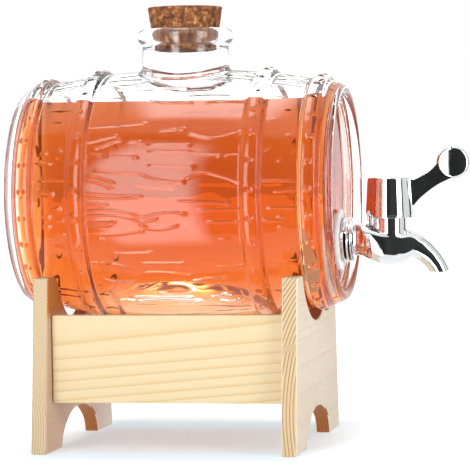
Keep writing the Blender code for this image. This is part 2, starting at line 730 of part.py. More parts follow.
def make_tap_body(parts, cutters):
    """The cast tap body: shank, bulb, upright neck, cam peg and bent spout, bored right through."""
    bulb = tube("tap_body", shared_path(BULB_SHARES, TAP_BODY_PLACE, BULB_LENGTH, TAP_AXIS_HEIGHT, BULB_DROP,
                                        BULB_RADIUS), TUBE_SIDES, parts)
    spout = tube("spout_outside", shared_path(SPOUT_SHARES, VALVE_PLACE, SPOUT_REACH, TAP_AXIS_HEIGHT,
                                              SPOUT_FALL, SPOUT_RADIUS), TUBE_SIDES, cutters)
    neck = cylinder("tap_neck", TAP_NECK_RADIUS, TAP_AXIS_HEIGHT - BULB_DROP, TAP_NECK_TOP,
                    ROUND_STEPS, cutters)
    neck.location = (VALVE_PLACE, 0.0, 0.0)
    peg_bottom = TAP_AXIS_HEIGHT + BULB_RADIUS * BULB_SHARES[0][2] - PEG_FOOT_DEPTH
    peg = cylinder("cam_peg", PEG_RADIUS, peg_bottom, PEG_TOP, PEG_STEPS, cutters)
    peg.location = (VALVE_PLACE - PEG_PLACE_RADIUS, 0.0, 0.0)
    shank = cylinder("shank", SHANK_RADIUS, SHANK_END_PLACE, TAP_BODY_PLACE + CUT_OVERRUN,
                     ROUND_STEPS, cutters)
    lay_along_x(shank, TAP_AXIS_HEIGHT)
    for piece in (spout, neck, peg, shank):
        combine(bulb, piece, "UNION", "MANIFOLD")

    mouth = TAP_AXIS_HEIGHT - SPOUT_FALL
    reach = VALVE_PLACE + SPOUT_REACH
    below = block("mouth_cut", (reach - 2 * SPOUT_RADIUS, -SPOUT_RADIUS, mouth - 2 * CUT_OVERRUN),
                  (reach + 2 * SPOUT_RADIUS, SPOUT_RADIUS, mouth), cutters)
    inlet = cylinder("inlet_bore", SHANK_BORE_RADIUS, SHANK_END_PLACE - CUT_OVERRUN,
                     VALVE_PLACE - CHAMBER_RADIUS + SHANK_BORE_RADIUS / 2, ROUND_STEPS, cutters)
    lay_along_x(inlet, TAP_AXIS_HEIGHT)
    thread_radius = BONNET_RADIUS + FIT_GAP
    bonnet_bottom = TAP_NECK_TOP - BONNET_LENGTH - FIT_GAP
    chamber_profile = [
        (0.0, TAP_NECK_TOP + CUT_OVERRUN),
        (thread_radius, TAP_NECK_TOP + CUT_OVERRUN),
        (thread_radius, bonnet_bottom),
        (CHAMBER_RADIUS, bonnet_bottom),
        (CHAMBER_RADIUS, CHAMBER_FLOOR),
        (SEAT_HOLE_RADIUS, CHAMBER_FLOOR),
        (SEAT_HOLE_RADIUS, TAP_AXIS_HEIGHT - SPOUT_FALL * OUTLET_SHARES[0][1]),
        (0.0, TAP_AXIS_HEIGHT - SPOUT_FALL * OUTLET_SHARES[0][1]),
    ]
    chamber = turned("valve_chamber", chamber_profile, ROUND_STEPS, cutters)
    chamber.location = (VALVE_PLACE, 0.0, 0.0)
    outlet = tube("outlet_bore", shared_path(OUTLET_SHARES, VALVE_PLACE, SPOUT_REACH, TAP_AXIS_HEIGHT,
                                             SPOUT_FALL, SPOUT_BORE_RADIUS), BORE_SIDES, cutters)
    for piece in (below, chamber, outlet, inlet):
        combine(bulb, piece, "DIFFERENCE", "MANIFOLD")
    paint(bulb, CHROME)
    return bulb


def on_valve(item):
    """Stand a turned piece on the valve's upright axis."""
    item.location = (VALVE_PLACE, 0.0, 0.0)
    bpy.context.view_layer.update()
    return item


def make_plug(parts):
    """The silicone plug that closes the seat, with a socket for the stem's tip."""
    bottom = CHAMBER_FLOOR + FIT_GAP
    top = bottom + PLUG_HEIGHT
    disc = bottom + PLUG_DISC_HEIGHT
    socket = STEM_TIP_RADIUS + FIT_GAP
    socket_floor = top - STEM_TIP_LENGTH
    edge = PLUG_EDGE_ROUND
    profile = [
        (0.0, socket_floor), (socket, socket_floor), (socket, top), (PLUG_WAIST_RADIUS, top),
        (PLUG_WAIST_RADIUS, disc + edge), (PLUG_RADIUS - edge, disc), (PLUG_RADIUS, disc - edge),
        (PLUG_RADIUS, bottom + edge), (PLUG_RADIUS - edge, bottom), (0.0, bottom),
    ]
    item = on_valve(turned("valve_plug", profile, ROUND_STEPS, parts))
    paint(item, SILICONE)
    return item


def stem_flange_bottom():
    """Height at which the stem's flange sits on the plug."""
    return CHAMBER_FLOOR + FIT_GAP + PLUG_HEIGHT + FIT_GAP


def make_stem(parts):
    """The valve stem: tip in the plug, flange under the spring, shaft up into the handle."""
    flange = stem_flange_bottom()
    flange_top = flange + STEM_FLANGE_HEIGHT
    hole = SCREW_RADIUS + FIT_GAP
    hole_floor = STEM_TOP - STEM_HOLE_DEPTH
    tip = flange - STEM_TIP_LENGTH + FIT_GAP
    profile = [
        (0.0, hole_floor), (hole, hole_floor), (hole, STEM_TOP), (STEM_RADIUS, STEM_TOP),
        (STEM_RADIUS, flange_top), (STEM_FLANGE_RADIUS, flange_top), (STEM_FLANGE_RADIUS, flange),
        (STEM_TIP_RADIUS, flange), (STEM_TIP_RADIUS, tip), (0.0, tip),
    ]
    item = on_valve(turned("valve_stem", profile, ROUND_STEPS, parts))
    paint(item, STEEL)
    return item


def make_bonnet(parts):
    """The bonnet screwed into the tap's neck, with a groove inside for the stem's seal."""
    bottom = TAP_NECK_TOP - BONNET_LENGTH
    flange = TAP_NECK_TOP + FIT_GAP
    top = flange + BONNET_FLANGE_HEIGHT
    inner = STEM_RADIUS + FIT_GAP
    groove = STEM_RADIUS + 2 * O_RING_SECTION + 2 * O_RING_GAP
    middle = TAP_NECK_TOP - O_RING_DEPTH
    low = middle - O_RING_SECTION - O_RING_GAP
    high = middle + O_RING_SECTION + O_RING_GAP
    profile = [
        (inner, top), (BONNET_FLANGE_RADIUS, top), (BONNET_FLANGE_RADIUS, flange), (BONNET_RADIUS, flange),
        (BONNET_RADIUS, bottom), (inner, bottom), (inner, low), (groove, low), (groove, high), (inner, high),
    ]
    item = on_valve(turned("valve_bonnet", profile, ROUND_STEPS, parts, ring=True))
    paint(item, STEEL)
    return item


def make_o_ring(parts):
    """The rubber ring that seals the stem in the bonnet."""
    centre = (STEM_RADIUS + O_RING_GAP + O_RING_SECTION, TAP_NECK_TOP - O_RING_DEPTH)
    section = arc(centre, O_RING_SECTION, math.pi, -math.pi, O_RING_SIDES)[:-1]
    item = on_valve(turned("stem_o_ring", section, SMALL_STEPS, parts, ring=True))
    paint(item, RUBBER)
    return item


def make_spring(parts):
    """The coil spring between the stem's flange and the bonnet."""
    bottom = stem_flange_bottom() + STEM_FLANGE_HEIGHT + FIT_GAP + SPRING_WIRE_RADIUS
    top = TAP_NECK_TOP - BONNET_LENGTH - FIT_GAP - SPRING_WIRE_RADIUS
    count = round(SPRING_TURNS * SPRING_POINTS_A_TURN)
    data = bpy.data.curves.new("valve_spring", "CURVE")
    data.dimensions = "3D"
    data.bevel_depth = SPRING_WIRE_RADIUS
    data.bevel_resolution = SPRING_BEVEL_STEPS
    data.use_fill_caps = True
    spline = data.splines.new("POLY")
    spline.points.add(count)
    for index, point in enumerate(spline.points):
        angle = math.tau * SPRING_TURNS * index / count
        height = bottom + (top - bottom) * index / count
        point.co = (SPRING_MEAN_RADIUS * math.cos(angle), SPRING_MEAN_RADIUS * math.sin(angle), height, 1.0)
    item = bpy.data.objects.new("valve_spring", data)
    parts.objects.link(item)
    item = on_valve(settle(item))
    paint(item, STEEL)
    return item


def notch_ceiling(angle, slack):
    """Height of the cam notch at an angle round the skirt from the peg, towards -Y."""
    top = PEG_TOP + FIT_GAP
    turned_share = min(max((angle - slack) / HANDLE_TURN, 0.0), 1.0)
    return top - VALVE_LIFT * turned_share


def make_notch(cutters):
    """The cam notch: one steep side, and a ramp that lifts the handle off the peg as it turns."""
    slack = math.asin((PEG_RADIUS + NOTCH_SIDE_GAP) / PEG_PLACE_RADIUS)
    start = -slack
    end = HANDLE_TURN + slack
    low = CAP_BOTTOM - CUT_OVERRUN
    radii = (CAP_INSIDE_RADIUS - NOTCH_SIDE_GAP, CAP_BOTTOM_RADIUS + NOTCH_SIDE_GAP)
    ramp = (end - slack) / NOTCH_ANGLE_STEPS
    angles = [start] + [slack + ramp * index for index in range(NOTCH_ANGLE_STEPS + 1)]
    work = bmesh.new()
    sections = []
    for angle in angles:
        ceiling = notch_ceiling(angle, slack)
        corners = ((radii[0], low), (radii[1], low), (radii[1], ceiling), (radii[0], ceiling))
        turn = math.pi + angle
        sections.append([work.verts.new((radius * math.cos(turn), radius * math.sin(turn), height))
                         for radius, height in corners])
    for first, second in zip(sections, sections[1:]):
        for index in range(4):
            other = (index + 1) % 4
            work.faces.new((first[index], first[other], second[other], second[index]))
    work.faces.new(sections[0])
    work.faces.new(sections[-1])
    bmesh.ops.recalc_face_normals(work, faces=work.faces)
    mesh = bpy.data.meshes.new("cam_notch")
    work.to_mesh(mesh)
    work.free()
    item = bpy.data.objects.new("cam_notch", mesh)
    cutters.objects.link(item)
    return on_valve(item)


def blade_outline():
    """The lever's blade seen from the front, from inside the cap's wall to the disc."""
    root = (CAP_INSIDE_RADIUS + CAP_TOP_RADIUS) / 2
    edge = CAP_BOTTOM_RADIUS
    span = DISC_REACH - edge
    rise = DISC_HEIGHT - BLADE_ROOT_BOTTOM
    lower = [(edge + span * along, BLADE_ROOT_BOTTOM + rise * up) for along, up in BLADE_LOWER_SHARES]
    upper = [(edge + span * along, BLADE_ROOT_BOTTOM + rise * up) for along, up in BLADE_UPPER_SHARES]
    return [(root, BLADE_ROOT_BOTTOM)] + lower + upper + [(root, BLADE_ROOT_BOTTOM + BLADE_ROOT_WIDTH)]


def make_disc(cutters):
    """The round end of the lever, thicker than its blade, with crowned faces and a rounded edge."""
    rim = DISC_RADIUS - DISC_EDGE_ROUND
    shoulder = DISC_THICKNESS / 2 - DISC_CROWN
    edge = arc((rim, shoulder - DISC_EDGE_ROUND), DISC_EDGE_ROUND, math.pi / 2, 0.0, DISC_EDGE_STEPS)
    near = [(0.0, DISC_THICKNESS / 2)] + edge
    far = [(radius, -height) for radius, height in reversed(near)]
    disc = turned("lever_disc", near + far, DISC_STEPS, cutters)
    disc.rotation_euler = (math.pi / 2, 0.0, 0.0)
    disc.location = (VALVE_PLACE + DISC_REACH, 0.0, DISC_HEIGHT)
    bpy.context.view_layer.update()
    return disc


def make_handle(parts, cutters):
    """The handle: a tapered cap over the valve, its lever, and the cam notch in its skirt."""
    edge = arc((CAP_TOP_RADIUS - CAP_EDGE_ROUND, CAP_TOP - CAP_EDGE_ROUND), CAP_EDGE_ROUND, math.pi / 2, 0.0,
               CAP_EDGE_STEPS)
    profile = [(0.0, CAP_TOP)] + edge + [(CAP_BOTTOM_RADIUS, CAP_BOTTOM), (0.0, CAP_BOTTOM)]
    handle = on_valve(turned("tap_handle", profile, CAP_STEPS, parts))

    blade = flat_piece("lever_blade", blade_outline(), BLADE_THICKNESS, (math.pi / 2, 0.0, 0.0),
                       (VALVE_PLACE, 0.0, 0.0), cutters)
    combine(handle, blade, "UNION")
    combine(handle, make_disc(cutters), "UNION")

    socket = STEM_RADIUS + FIT_GAP
    socket_top = STEM_TOP + FIT_GAP
    recess_floor = socket_top + HANDLE_WEB
    recess = SCREW_HEAD_RADIUS + FIT_GAP
    hole = SCREW_RADIUS + FIT_GAP
    inside = [
        (0.0, CAP_TOP + CUT_OVERRUN), (recess, CAP_TOP + CUT_OVERRUN), (recess, recess_floor),
        (hole, recess_floor), (hole, socket_top), (socket, socket_top), (socket, CAP_CEILING),
        (CAP_INSIDE_RADIUS, CAP_CEILING), (CAP_INSIDE_RADIUS, CAP_BOTTOM - CUT_OVERRUN),
        (0.0, CAP_BOTTOM - CUT_OVERRUN),
    ]
    hollow = on_valve(turned("cap_inside", inside, ROUND_STEPS, cutters))
    combine(handle, hollow, "DIFFERENCE")
    combine(handle, make_notch(cutters), "DIFFERENCE")
    paint(handle, CHROME)
    return handle


def make_handle_screw(parts, cutters):
    """The screw that holds the handle on its stem, slotted."""
    bottom_of_head = STEM_TOP + FIT_GAP + HANDLE_WEB + FIT_GAP
    top = bottom_of_head + SCREW_HEAD_HEIGHT
    profile = [
        (0.0, top), (SCREW_HEAD_RADIUS, top), (SCREW_HEAD_RADIUS, bottom_of_head),
        (SCREW_RADIUS, bottom_of_head), (SCREW_RADIUS, bottom_of_head - SCREW_LENGTH),
        (0.0, bottom_of_head - SCREW_LENGTH),
    ]
    item = on_valve(turned("handle_screw", profile, SMALL_STEPS, parts))
    slot = block("screw_slot",
                 (VALVE_PLACE - 2 * SCREW_HEAD_RADIUS, -SCREW_SLOT_WIDTH / 2, top - SCREW_SLOT_DEPTH),
                 (VALVE_PLACE + 2 * SCREW_HEAD_RADIUS, SCREW_SLOT_WIDTH / 2, top + CUT_OVERRUN), cutters)
    combine(item, slot, "DIFFERENCE")
    paint(item, STEEL)
    return item


def make_button(parts):
    """The flush cover pressed into the handle's top, over the screw."""
    button = on_valve(cylinder("handle_button", SCREW_HEAD_RADIUS, CAP_TOP - BUTTON_HEIGHT, CAP_TOP,
                               ROUND_STEPS, parts))
    paint(button, CHROME)
    return button


def build():
    """Make every piece, and hang the moving ones on their axes."""
    clear_scene()
    parts = new_collection("glass_barrel_dispenser")
    cutters = new_collection("cutters")

    stand = make_stand(parts, cutters)
    barrel = make_barrel(parts, cutters)
    cork = make_cork(parts)
    tap = [
        washer("outer_washer", OUTER_WASHER_PLACE, parts),
        washer("inner_washer", INNER_WASHER_PLACE, parts),
        make_collar(parts),
        make_nut(parts, cutters),
        make_tap_body(parts, cutters),
        make_bonnet(parts),
        make_o_ring(parts),
        make_spring(parts),
    ]
    plug = make_plug(parts)
    turning = [make_stem(parts), make_handle(parts, cutters), make_handle_screw(parts, cutters),
               make_button(parts)]

    origin = axis_marker("dispenser", (0.0, 0.0, 0.0), None, parts)
    barrel_lift = axis_marker("barrel_lift_axis", (0.0, 0.0, BARREL_AXIS_HEIGHT), origin, parts)
    stopper_lift = axis_marker("stopper_lift_axis", (0.0, 0.0, CORK_BOTTOM_HEIGHT), barrel_lift, parts)
    valve_lift = axis_marker("valve_lift_axis", (VALVE_PLACE, 0.0, CHAMBER_FLOOR), barrel_lift, parts)
    handle_turn = axis_marker("handle_turn_axis", (VALVE_PLACE, 0.0, CAP_BOTTOM), valve_lift, parts)
    for item in stand:
        attach(item, origin)
    for item in [barrel] + tap:
        attach(item, barrel_lift)
    attach(cork, stopper_lift)
    attach(plug, valve_lift)
    for item in turning:
        attach(item, handle_turn)
    for item in cutters.objects:
        attach(item, origin)
    origin.location.x = -LENGTH_CENTRE
    bpy.context.view_layer.update()


build()
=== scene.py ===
"""Looks of the glass barrel dispenser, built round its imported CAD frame.

Shapes are written in millimetres with the origin under the barrel's middle; solid() and sweep() move
them into the frame of the CAD, which is in metres and has its origin 27.5 mm further along X.
"""

import math
import random

import bmesh
import bpy
import numpy as np
from mathutils import Matrix, Vector


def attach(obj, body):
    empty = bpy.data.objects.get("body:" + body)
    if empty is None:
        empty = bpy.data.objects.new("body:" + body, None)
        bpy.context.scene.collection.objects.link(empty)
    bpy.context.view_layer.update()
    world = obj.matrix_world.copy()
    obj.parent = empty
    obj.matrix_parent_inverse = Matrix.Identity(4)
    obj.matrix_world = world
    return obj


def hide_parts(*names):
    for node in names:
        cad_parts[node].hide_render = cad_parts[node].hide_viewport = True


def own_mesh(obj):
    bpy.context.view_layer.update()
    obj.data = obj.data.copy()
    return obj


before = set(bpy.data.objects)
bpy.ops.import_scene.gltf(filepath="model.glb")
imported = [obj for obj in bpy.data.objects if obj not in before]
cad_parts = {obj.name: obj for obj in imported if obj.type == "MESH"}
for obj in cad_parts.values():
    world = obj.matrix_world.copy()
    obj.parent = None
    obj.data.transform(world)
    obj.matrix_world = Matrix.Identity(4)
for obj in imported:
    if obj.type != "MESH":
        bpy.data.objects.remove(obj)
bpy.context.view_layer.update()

MM = 0.001
SHIFT = -27.5

# Barrel, as in the CAD. Its bulge falls from MID_R to END_R over BULGE_REACH along the axis
AXIS_Z = 112.0
HALF_LENGTH = 73.28
MID_R = 56.3
END_R = 48.6
BULGE_REACH = 73.3
WALL = 4.0
FACE_X = 68.6
END_WALL = 4.8
BEAD_R = 2.38
INSIDE_CORNER = 5.0
HOOPS = (-63.6, -38.9, 38.9, 63.6)
HOOP_HALF = 4.5
HOOP_RISE = 2.4
NECK_R = 19.6
BORE_R = 17.0
LIP_R = 21.55
LIP_TOP = 186.9
LIP_H = 7.3

# What the CAD lacks, or has thicker: the hollow's left end, the wave on the thick base, rivets, drink
LEFT_WALL = 2.4
LEFT_CORNER = 3.0
PAD_TOP = 76.5
PAD_HALF = 36.0
PAD_WAVE = 0.25
RIVETS = 28
RIVET_PHASE = 2.9
RIVET_HEIGHT = 0.60
STROKE_HEIGHT, STROKE_HALF = 0.44, 0.46
BLOB_HEIGHT, BLOB_HALF = 0.56, 0.78
LEVEL_Z = 152.4
DRINK_OVERLAP = 0.12
GLASS_INDEX = 1.50
DRINK_INDEX = 1.34

# Tap and valve, as in the CAD, save that the outer washer's rim is wider here
TAP_Z = 90.7
VALVE_X = 92.4
VALVE_TRAVEL = 2.6
HANDLE_TURN = 60.0
PEG_R = 1.2
PEG_REACH = 9.4
SEAL_INNER_R = 6.3
SEAL_RIMS = {"outer_washer": 13.8, "inner_washer": 12.2}

# The photograph's viewpoint: metres, degrees, and the focal length in pixels of its 470 x 470 frame
CAMERA_PLACE = (0.2114, -1.1090, 0.1321)
CAMERA_YAW, CAMERA_PITCH, CAMERA_ROLL = 11.09, 1.97, -0.87
FOCAL_PIXELS = 2495.8
FRAME_PIXELS = 470.0

# Moulded grain on the front, each stroke listed: across, down, across, down and so on, in pixels
STROKE_PIXELS = (
    (88, 128, 143, 124), (88, 143, 115, 136), (95, 149, 118, 140), (128, 142, 140, 142),
    (88, 154, 106, 155), (107, 157, 136, 158), (150, 145, 188, 145), (150, 152, 188, 153),
    (150, 165.5, 192, 167), (160, 131, 183, 129), (190, 134, 208, 138, 222, 137, 240, 132),
    (95, 171, 117, 173, 140, 174, 150, 178, 165, 181, 182, 182),
    (187, 178, 205, 173, 224, 177, 238, 182), (88, 176, 100, 178, 113, 183),
    (86, 181, 98, 183, 111, 188), (85, 193, 110, 195, 140, 196), (85, 197, 112, 199, 135, 198),
    (85, 202, 106, 205), (85, 205, 103, 206),
    (85, 211, 110, 210, 130, 213, 142, 217, 155, 214, 170, 212, 183, 214),
    (86, 216, 110, 215, 130, 218, 142, 222, 155, 219), (86, 223, 114, 222), (86, 226, 110, 225),
    (141, 225, 150, 229, 165, 229, 175, 226), (86, 235, 120, 234, 142, 231), (88, 241, 100, 240),
    (113, 253.5, 150, 253), (90, 262, 102, 263), (142, 263, 184, 263), (103, 266, 113, 264, 125, 267),
    (218, 266.5, 244, 264.8), (135, 275, 150, 272, 175, 273, 190, 275),
    (104, 279, 117, 281.5, 135, 281), (193, 280.6, 210, 277.6, 225, 277.6), (120, 86, 137, 84, 150, 81),
    (120, 90, 150, 90, 165, 88, 183, 89), (183, 78.5, 222, 79.5), (190, 96, 205, 95, 225, 95, 243, 97),
    (150, 100, 165, 103, 191, 103), (207, 104, 212, 102, 245, 102), (190, 153.7, 220, 155.4),
    (226, 155.6, 241, 155), (180, 201, 228, 203.5), (200, 210, 239.7, 209.3), (210, 221.7, 238, 221.7),
    (222, 239, 227, 240), (286, 109.8, 291, 109.8), (269.6, 120.5, 276, 120.5),
    (288, 135.5, 289.5, 135.5), (266, 151, 269, 150), (279, 161, 280.5, 161),
    (263, 180.7, 294.4, 180.7), (276, 192, 293, 189.4), (296, 208, 270.4, 208),
    (284, 216.7, 280, 216.7), (281, 221, 265.4, 220), (296, 227.5, 281, 227), (279.5, 261.5, 301, 262),
    (43, 153.8, 45, 153.8), (56, 150.6, 60, 150.6), (34, 163, 42, 163), (45, 164, 48.5, 164),
    (32, 180.5, 63, 180.5), (41, 192, 51, 194), (53.6, 209, 58, 209), (46, 217.5, 48, 217.5),
    (56, 220.7, 63, 220.7), (46, 227, 48, 227), (56, 235, 63.8, 235), (54.8, 246, 65.7, 246.9),
    (49.7, 111.7, 71.4, 111), (52, 122.5, 67.6, 122.5),
)


def add(name, data):
    """A new object in the scene."""
    item = bpy.data.objects.new(name, data)
    bpy.context.scene.collection.objects.link(item)
    return item


def evaluated(item):
    """The mesh that an item's modifiers or its curve make."""
    bpy.context.view_layer.update()
    return bpy.data.meshes.new_from_object(item.evaluated_get(bpy.context.evaluated_depsgraph_get()))


def solid(name, points, faces, sharp=40.0):
    """A mesh object from points in millimetres."""
    mesh = bpy.data.meshes.new(name)
    places = (np.asarray(points, float) + (SHIFT, 0.0, 0.0)) * MM
    mesh.from_pydata(places.tolist(), [], faces)
    work = bmesh.new()
    work.from_mesh(mesh)
    bmesh.ops.recalc_face_normals(work, faces=work.faces)
    work.to_mesh(mesh)
    work.free()
    mesh.shade_smooth()
    mesh.set_sharp_from_angle(angle=math.radians(sharp))
    return add(name, mesh)


def ring_solid(name, rings, sharp=40.0, cyclic=False):
    """A closed surface through rings of points; its ends run to poles, or it closes on itself."""
    rings = np.asarray(rings, float)
    count, steps = rings.shape[:2]
    points = rings.reshape(-1, 3).tolist()
    faces = []
    for row in range(count if cyclic else count - 1):
        first = row * steps
        second = (row + 1) % count * steps
        for step in range(steps):
            after = (step + 1) % steps
            faces.append((first + step, first + after, second + after, second + step))
    if not cyclic:
        for row, flip in ((0, True), (count - 1, False)):
            pole = len(points)
            points.append(rings[row].mean(axis=0).tolist())
            for step in range(steps):
                pair = (row * steps + step, row * steps + (step + 1) % steps)
                faces.append((pole, pair[1], pair[0]) if flip else (pole, pair[0], pair[1]))
    return solid(name, points, faces, sharp)


def circle(steps):
    """The angles of a circle's steps, with their cosines and sines."""
    angles = np.linspace(0.0, math.tau, steps, endpoint=False)
    return angles, np.cos(angles), np.sin(angles)


def ring(x, y, z):
    """A ring of points. Any of its three coordinates may be one number for all of them."""
    return np.stack(np.broadcast_arrays(x, y, z), 1)


def lathe(name, profile, steps=96, x=0.0, along_x=False, cyclic=False):
    """A turned piece from (radius, place) points. It stands over x, or lies on the tap's level axis."""
    _, cosine, sine = circle(steps)
    rings = []
    for radius, place in profile:
        one, two = radius * cosine, radius * sine
        rings.append(ring(place, one, TAP_Z + two) if along_x else ring(x + one, two, place))
    return ring_solid(name, rings, cyclic=cyclic)


def arc(centre, radius, start, end, steps):
    """Points of an arc between two angles in degrees, both ends included."""
    turns = [math.radians(start + (end - start) * i / steps) for i in range(steps + 1)]
    return [(centre[0] + radius * math.cos(turn), centre[1] + radius * math.sin(turn)) for turn in turns]


def settle(item, sharp=40.0):
    """Apply an item's modifiers."""
    mesh = evaluated(item)
    item.modifiers.clear()
    item.data = mesh
    mesh.shade_smooth()
    mesh.set_sharp_from_angle(angle=math.radians(sharp))
    return item


def combine(item, tool, operation="DIFFERENCE"):
    """Cut a tool away from an item, or join the two (UNION), and drop the tool."""
    modifier = item.modifiers.new(tool.name, "BOOLEAN")
    modifier.operation = operation
    modifier.solver = "MANIFOLD"
    modifier.object = tool
    settle(item)
    bpy.data.objects.remove(tool, do_unlink=True)


def spline(knots, steps):
    """A smooth line through knots, with a number of steps, or a list of numbers, between each two."""
    knots = [np.asarray(knot, float) for knot in knots]
    padded = [2 * knots[0] - knots[1]] + knots + [2 * knots[-1] - knots[-2]]
    counts = steps if isinstance(steps, list) else [steps] * (len(knots) - 1)
    line = []
    for a, b, c, d, count in zip(padded, padded[1:], padded[2:], padded[3:], counts):
        for i in range(count):
            t = i / count
            line.append(0.5 * (2 * b + (c - a) * t + (2 * a - 5 * b + 4 * c - d) * t * t
                               + (3 * b - a - 3 * c + d) * t ** 3))
    line.append(knots[-1])
    return line


def smooth_step(value):
    """From 0 to 1 with level ends, as a value goes from 0 to 1."""
    value = np.clip(value, 0.0, 1.0)
    return value * value * (3.0 - 2.0 * value)


def between(value, start, end, rise, fall):
    """1 between a start and an end, 0 outside, with soft edges inside them."""
    return smooth_step((value - start) / rise) * smooth_step((end - value) / fall)


def soft_min(a, b, k):
    """The smaller of two values, blended over a range k."""
    h = np.clip(0.5 + 0.5 * (b - a) / k, 0.0, 1.0)
    return b * (1.0 - h) + a * h - k * h * (1.0 - h)


def barrel_r(x):
    """Radius of the bulged glass without its hoops."""
    return MID_R - (MID_R - END_R) * (x / BULGE_REACH) ** 2


def camera_axes():
    """The camera's right, up and forward directions."""
    yaw, pitch, roll = (math.radians(v) for v in (CAMERA_YAW, CAMERA_PITCH, CAMERA_ROLL))
    ahead = Vector((-math.sin(yaw), math.cos(yaw), 0.0))
    side = Vector((math.cos(yaw), math.sin(yaw), 0.0))
    up = Vector((0.0, 0.0, 1.0))
    look = ahead * math.cos(pitch) - up * math.sin(pitch)
    above = ahead * math.sin(pitch) + up * math.cos(pitch)
    right = side * math.cos(roll) + above * math.sin(roll)
    return right, above * math.cos(roll) - side * math.sin(roll), look


def barrel_place(u, v):
    """Where a pixel of the photograph lies on the glass: along the barrel, and degrees above the front."""
    right, top, look = camera_axes()
    middle = FRAME_PIXELS / 2
    ray = (look + right * (u - middle) / FOCAL_PIXELS - top * (v - middle) / FOCAL_PIXELS).normalized()
    place = Vector(CAMERA_PLACE) / MM - Vector((SHIFT, 0.0, 0.0)) + ray * 1000.0
    for _ in range(400):
        gap = math.hypot(place.y, place.z - AXIS_Z) - barrel_r(place.x)
        if gap < 0.01:
            break
        place += ray * gap * 0.5
    return place.x, math.degrees(math.atan2(place.z - AXIS_Z, -place.y))


def hoop_rise(x, angle):
    """Height of the moulded hoops above the bulge. They are lower and have softer feet round the back."""
    rise = np.zeros_like(x)
    back = between(angle, 86.0, 296.0, 30.0, 30.0)
    start = 0.66 - 0.56 * back
    run = 0.42 + 0.83 * back
    for place in HOOPS:
        share = np.abs(x - place) / HOOP_HALF
        crown = (HOOP_RISE + 0.12) * (1.0 - 0.34 * back) - (x - place) ** 2 / 18.0 * (1.0 - back)
        rise = np.maximum(rise, crown * (1.0 - smooth_step((share - start) / run)))
    return rise


def stroke_points(points):
    """A smooth line, in millimetres along and round the barrel, through a stroke's points."""
    step = 0.9
    flat = [np.array([x, math.radians(a) * float(barrel_r(x))]) for x, a in points]
    if len(flat) < 3:
        return flat
    return spline(flat, [max(2, int(np.linalg.norm(c - b) / step)) for b, c in zip(flat, flat[1:])])


def grain_strokes():
    """All moulded strokes: those seen on the front, and like ones over the rest of the barrel."""
    dice = random.Random(11)
    strokes = [tuple(barrel_place(u, v) for u, v in zip(row[::2], row[1::2])) for row in STROKE_PIXELS]
    lowest_seen, highest_seen = -48.0, 72.0
    for low, high in ((-34.0, 34.0), (-58.5, -43.5), (43.5, 58.5)):
        angle = lowest_seen
        while angle > highest_seen - 360.0:
            angle -= dice.uniform(3.2, 6.5)
            start = dice.uniform(low, low + (high - low) * 0.45)
            while start < high - 3.0:
                end = min(high, start + dice.uniform(4.0, 26.0))
                bend = dice.uniform(-1.4, 1.4)
                middle, tail = (start + end) / 2, dice.uniform(-0.8, 0.8)
                strokes.append(((start, angle), (middle, angle + bend), (end, angle + tail)))
                start = end + dice.uniform(3.0, 16.0)
    return strokes


def relief(x, angle):
    """Height of the moulded grain and rivets at places along the barrel and angles in degrees.

    A stroke is a ridge that ends in a blob. Strokes are lower round the back and just above the base.
    """
    height = np.zeros_like(x)
    radius = barrel_r(x)
    for stroke in grain_strokes():
        line = stroke_points(stroke)
        low = min(p[0] for p in line) - 3.0
        high = max(p[0] for p in line) + 3.0
        mean = sum(p[1] for p in stroke) / len(stroke)
        turn = (angle - mean + 180.0) % 360.0 - 180.0
        near = (x > low) & (x < high) & (np.abs(turn) < 9.0)
        if not near.any():
            continue
        px, pr = x[near], radius[near]
        py = np.radians(mean + turn[near]) * pr
        best = np.full(px.shape, 1e9)
        for a, b in zip(line, line[1:]):
            span = b - a
            t = ((px - a[0]) * span[0] + (py - a[1]) * span[1]) / max(span @ span, 1e-9)
            t = np.clip(t, 0.0, 1.0)
            best = np.minimum(best, np.hypot(px - a[0] - t * span[0], py - a[1] - t * span[1]))
        blob = np.hypot(px - line[-1][0], py - line[-1][1])
        ridge = STROKE_HEIGHT * np.exp(-(best / STROKE_HALF) ** 2)
        end = BLOB_HEIGHT * np.exp(-(blob / BLOB_HALF) ** 2)
        height[near] = np.maximum(height[near], np.maximum(ridge, end))
    height *= 1.0 - 0.50 * between(angle, 46.0, 290.0, 12.0, 12.0)
    height *= 1.0 - 0.80 * between(angle, 262.0, 315.0, 14.0, 4.0)
    for place in HOOPS:
        pitch = 360.0 / RIVETS
        turn = (angle - RIVET_PHASE + pitch / 2) % pitch - pitch / 2
        away = np.hypot(x - place, np.radians(turn) * (radius + HOOP_RISE))
        height += RIVET_HEIGHT * (1.0 - smooth_step((away - 0.4) / 1.5))
    return height


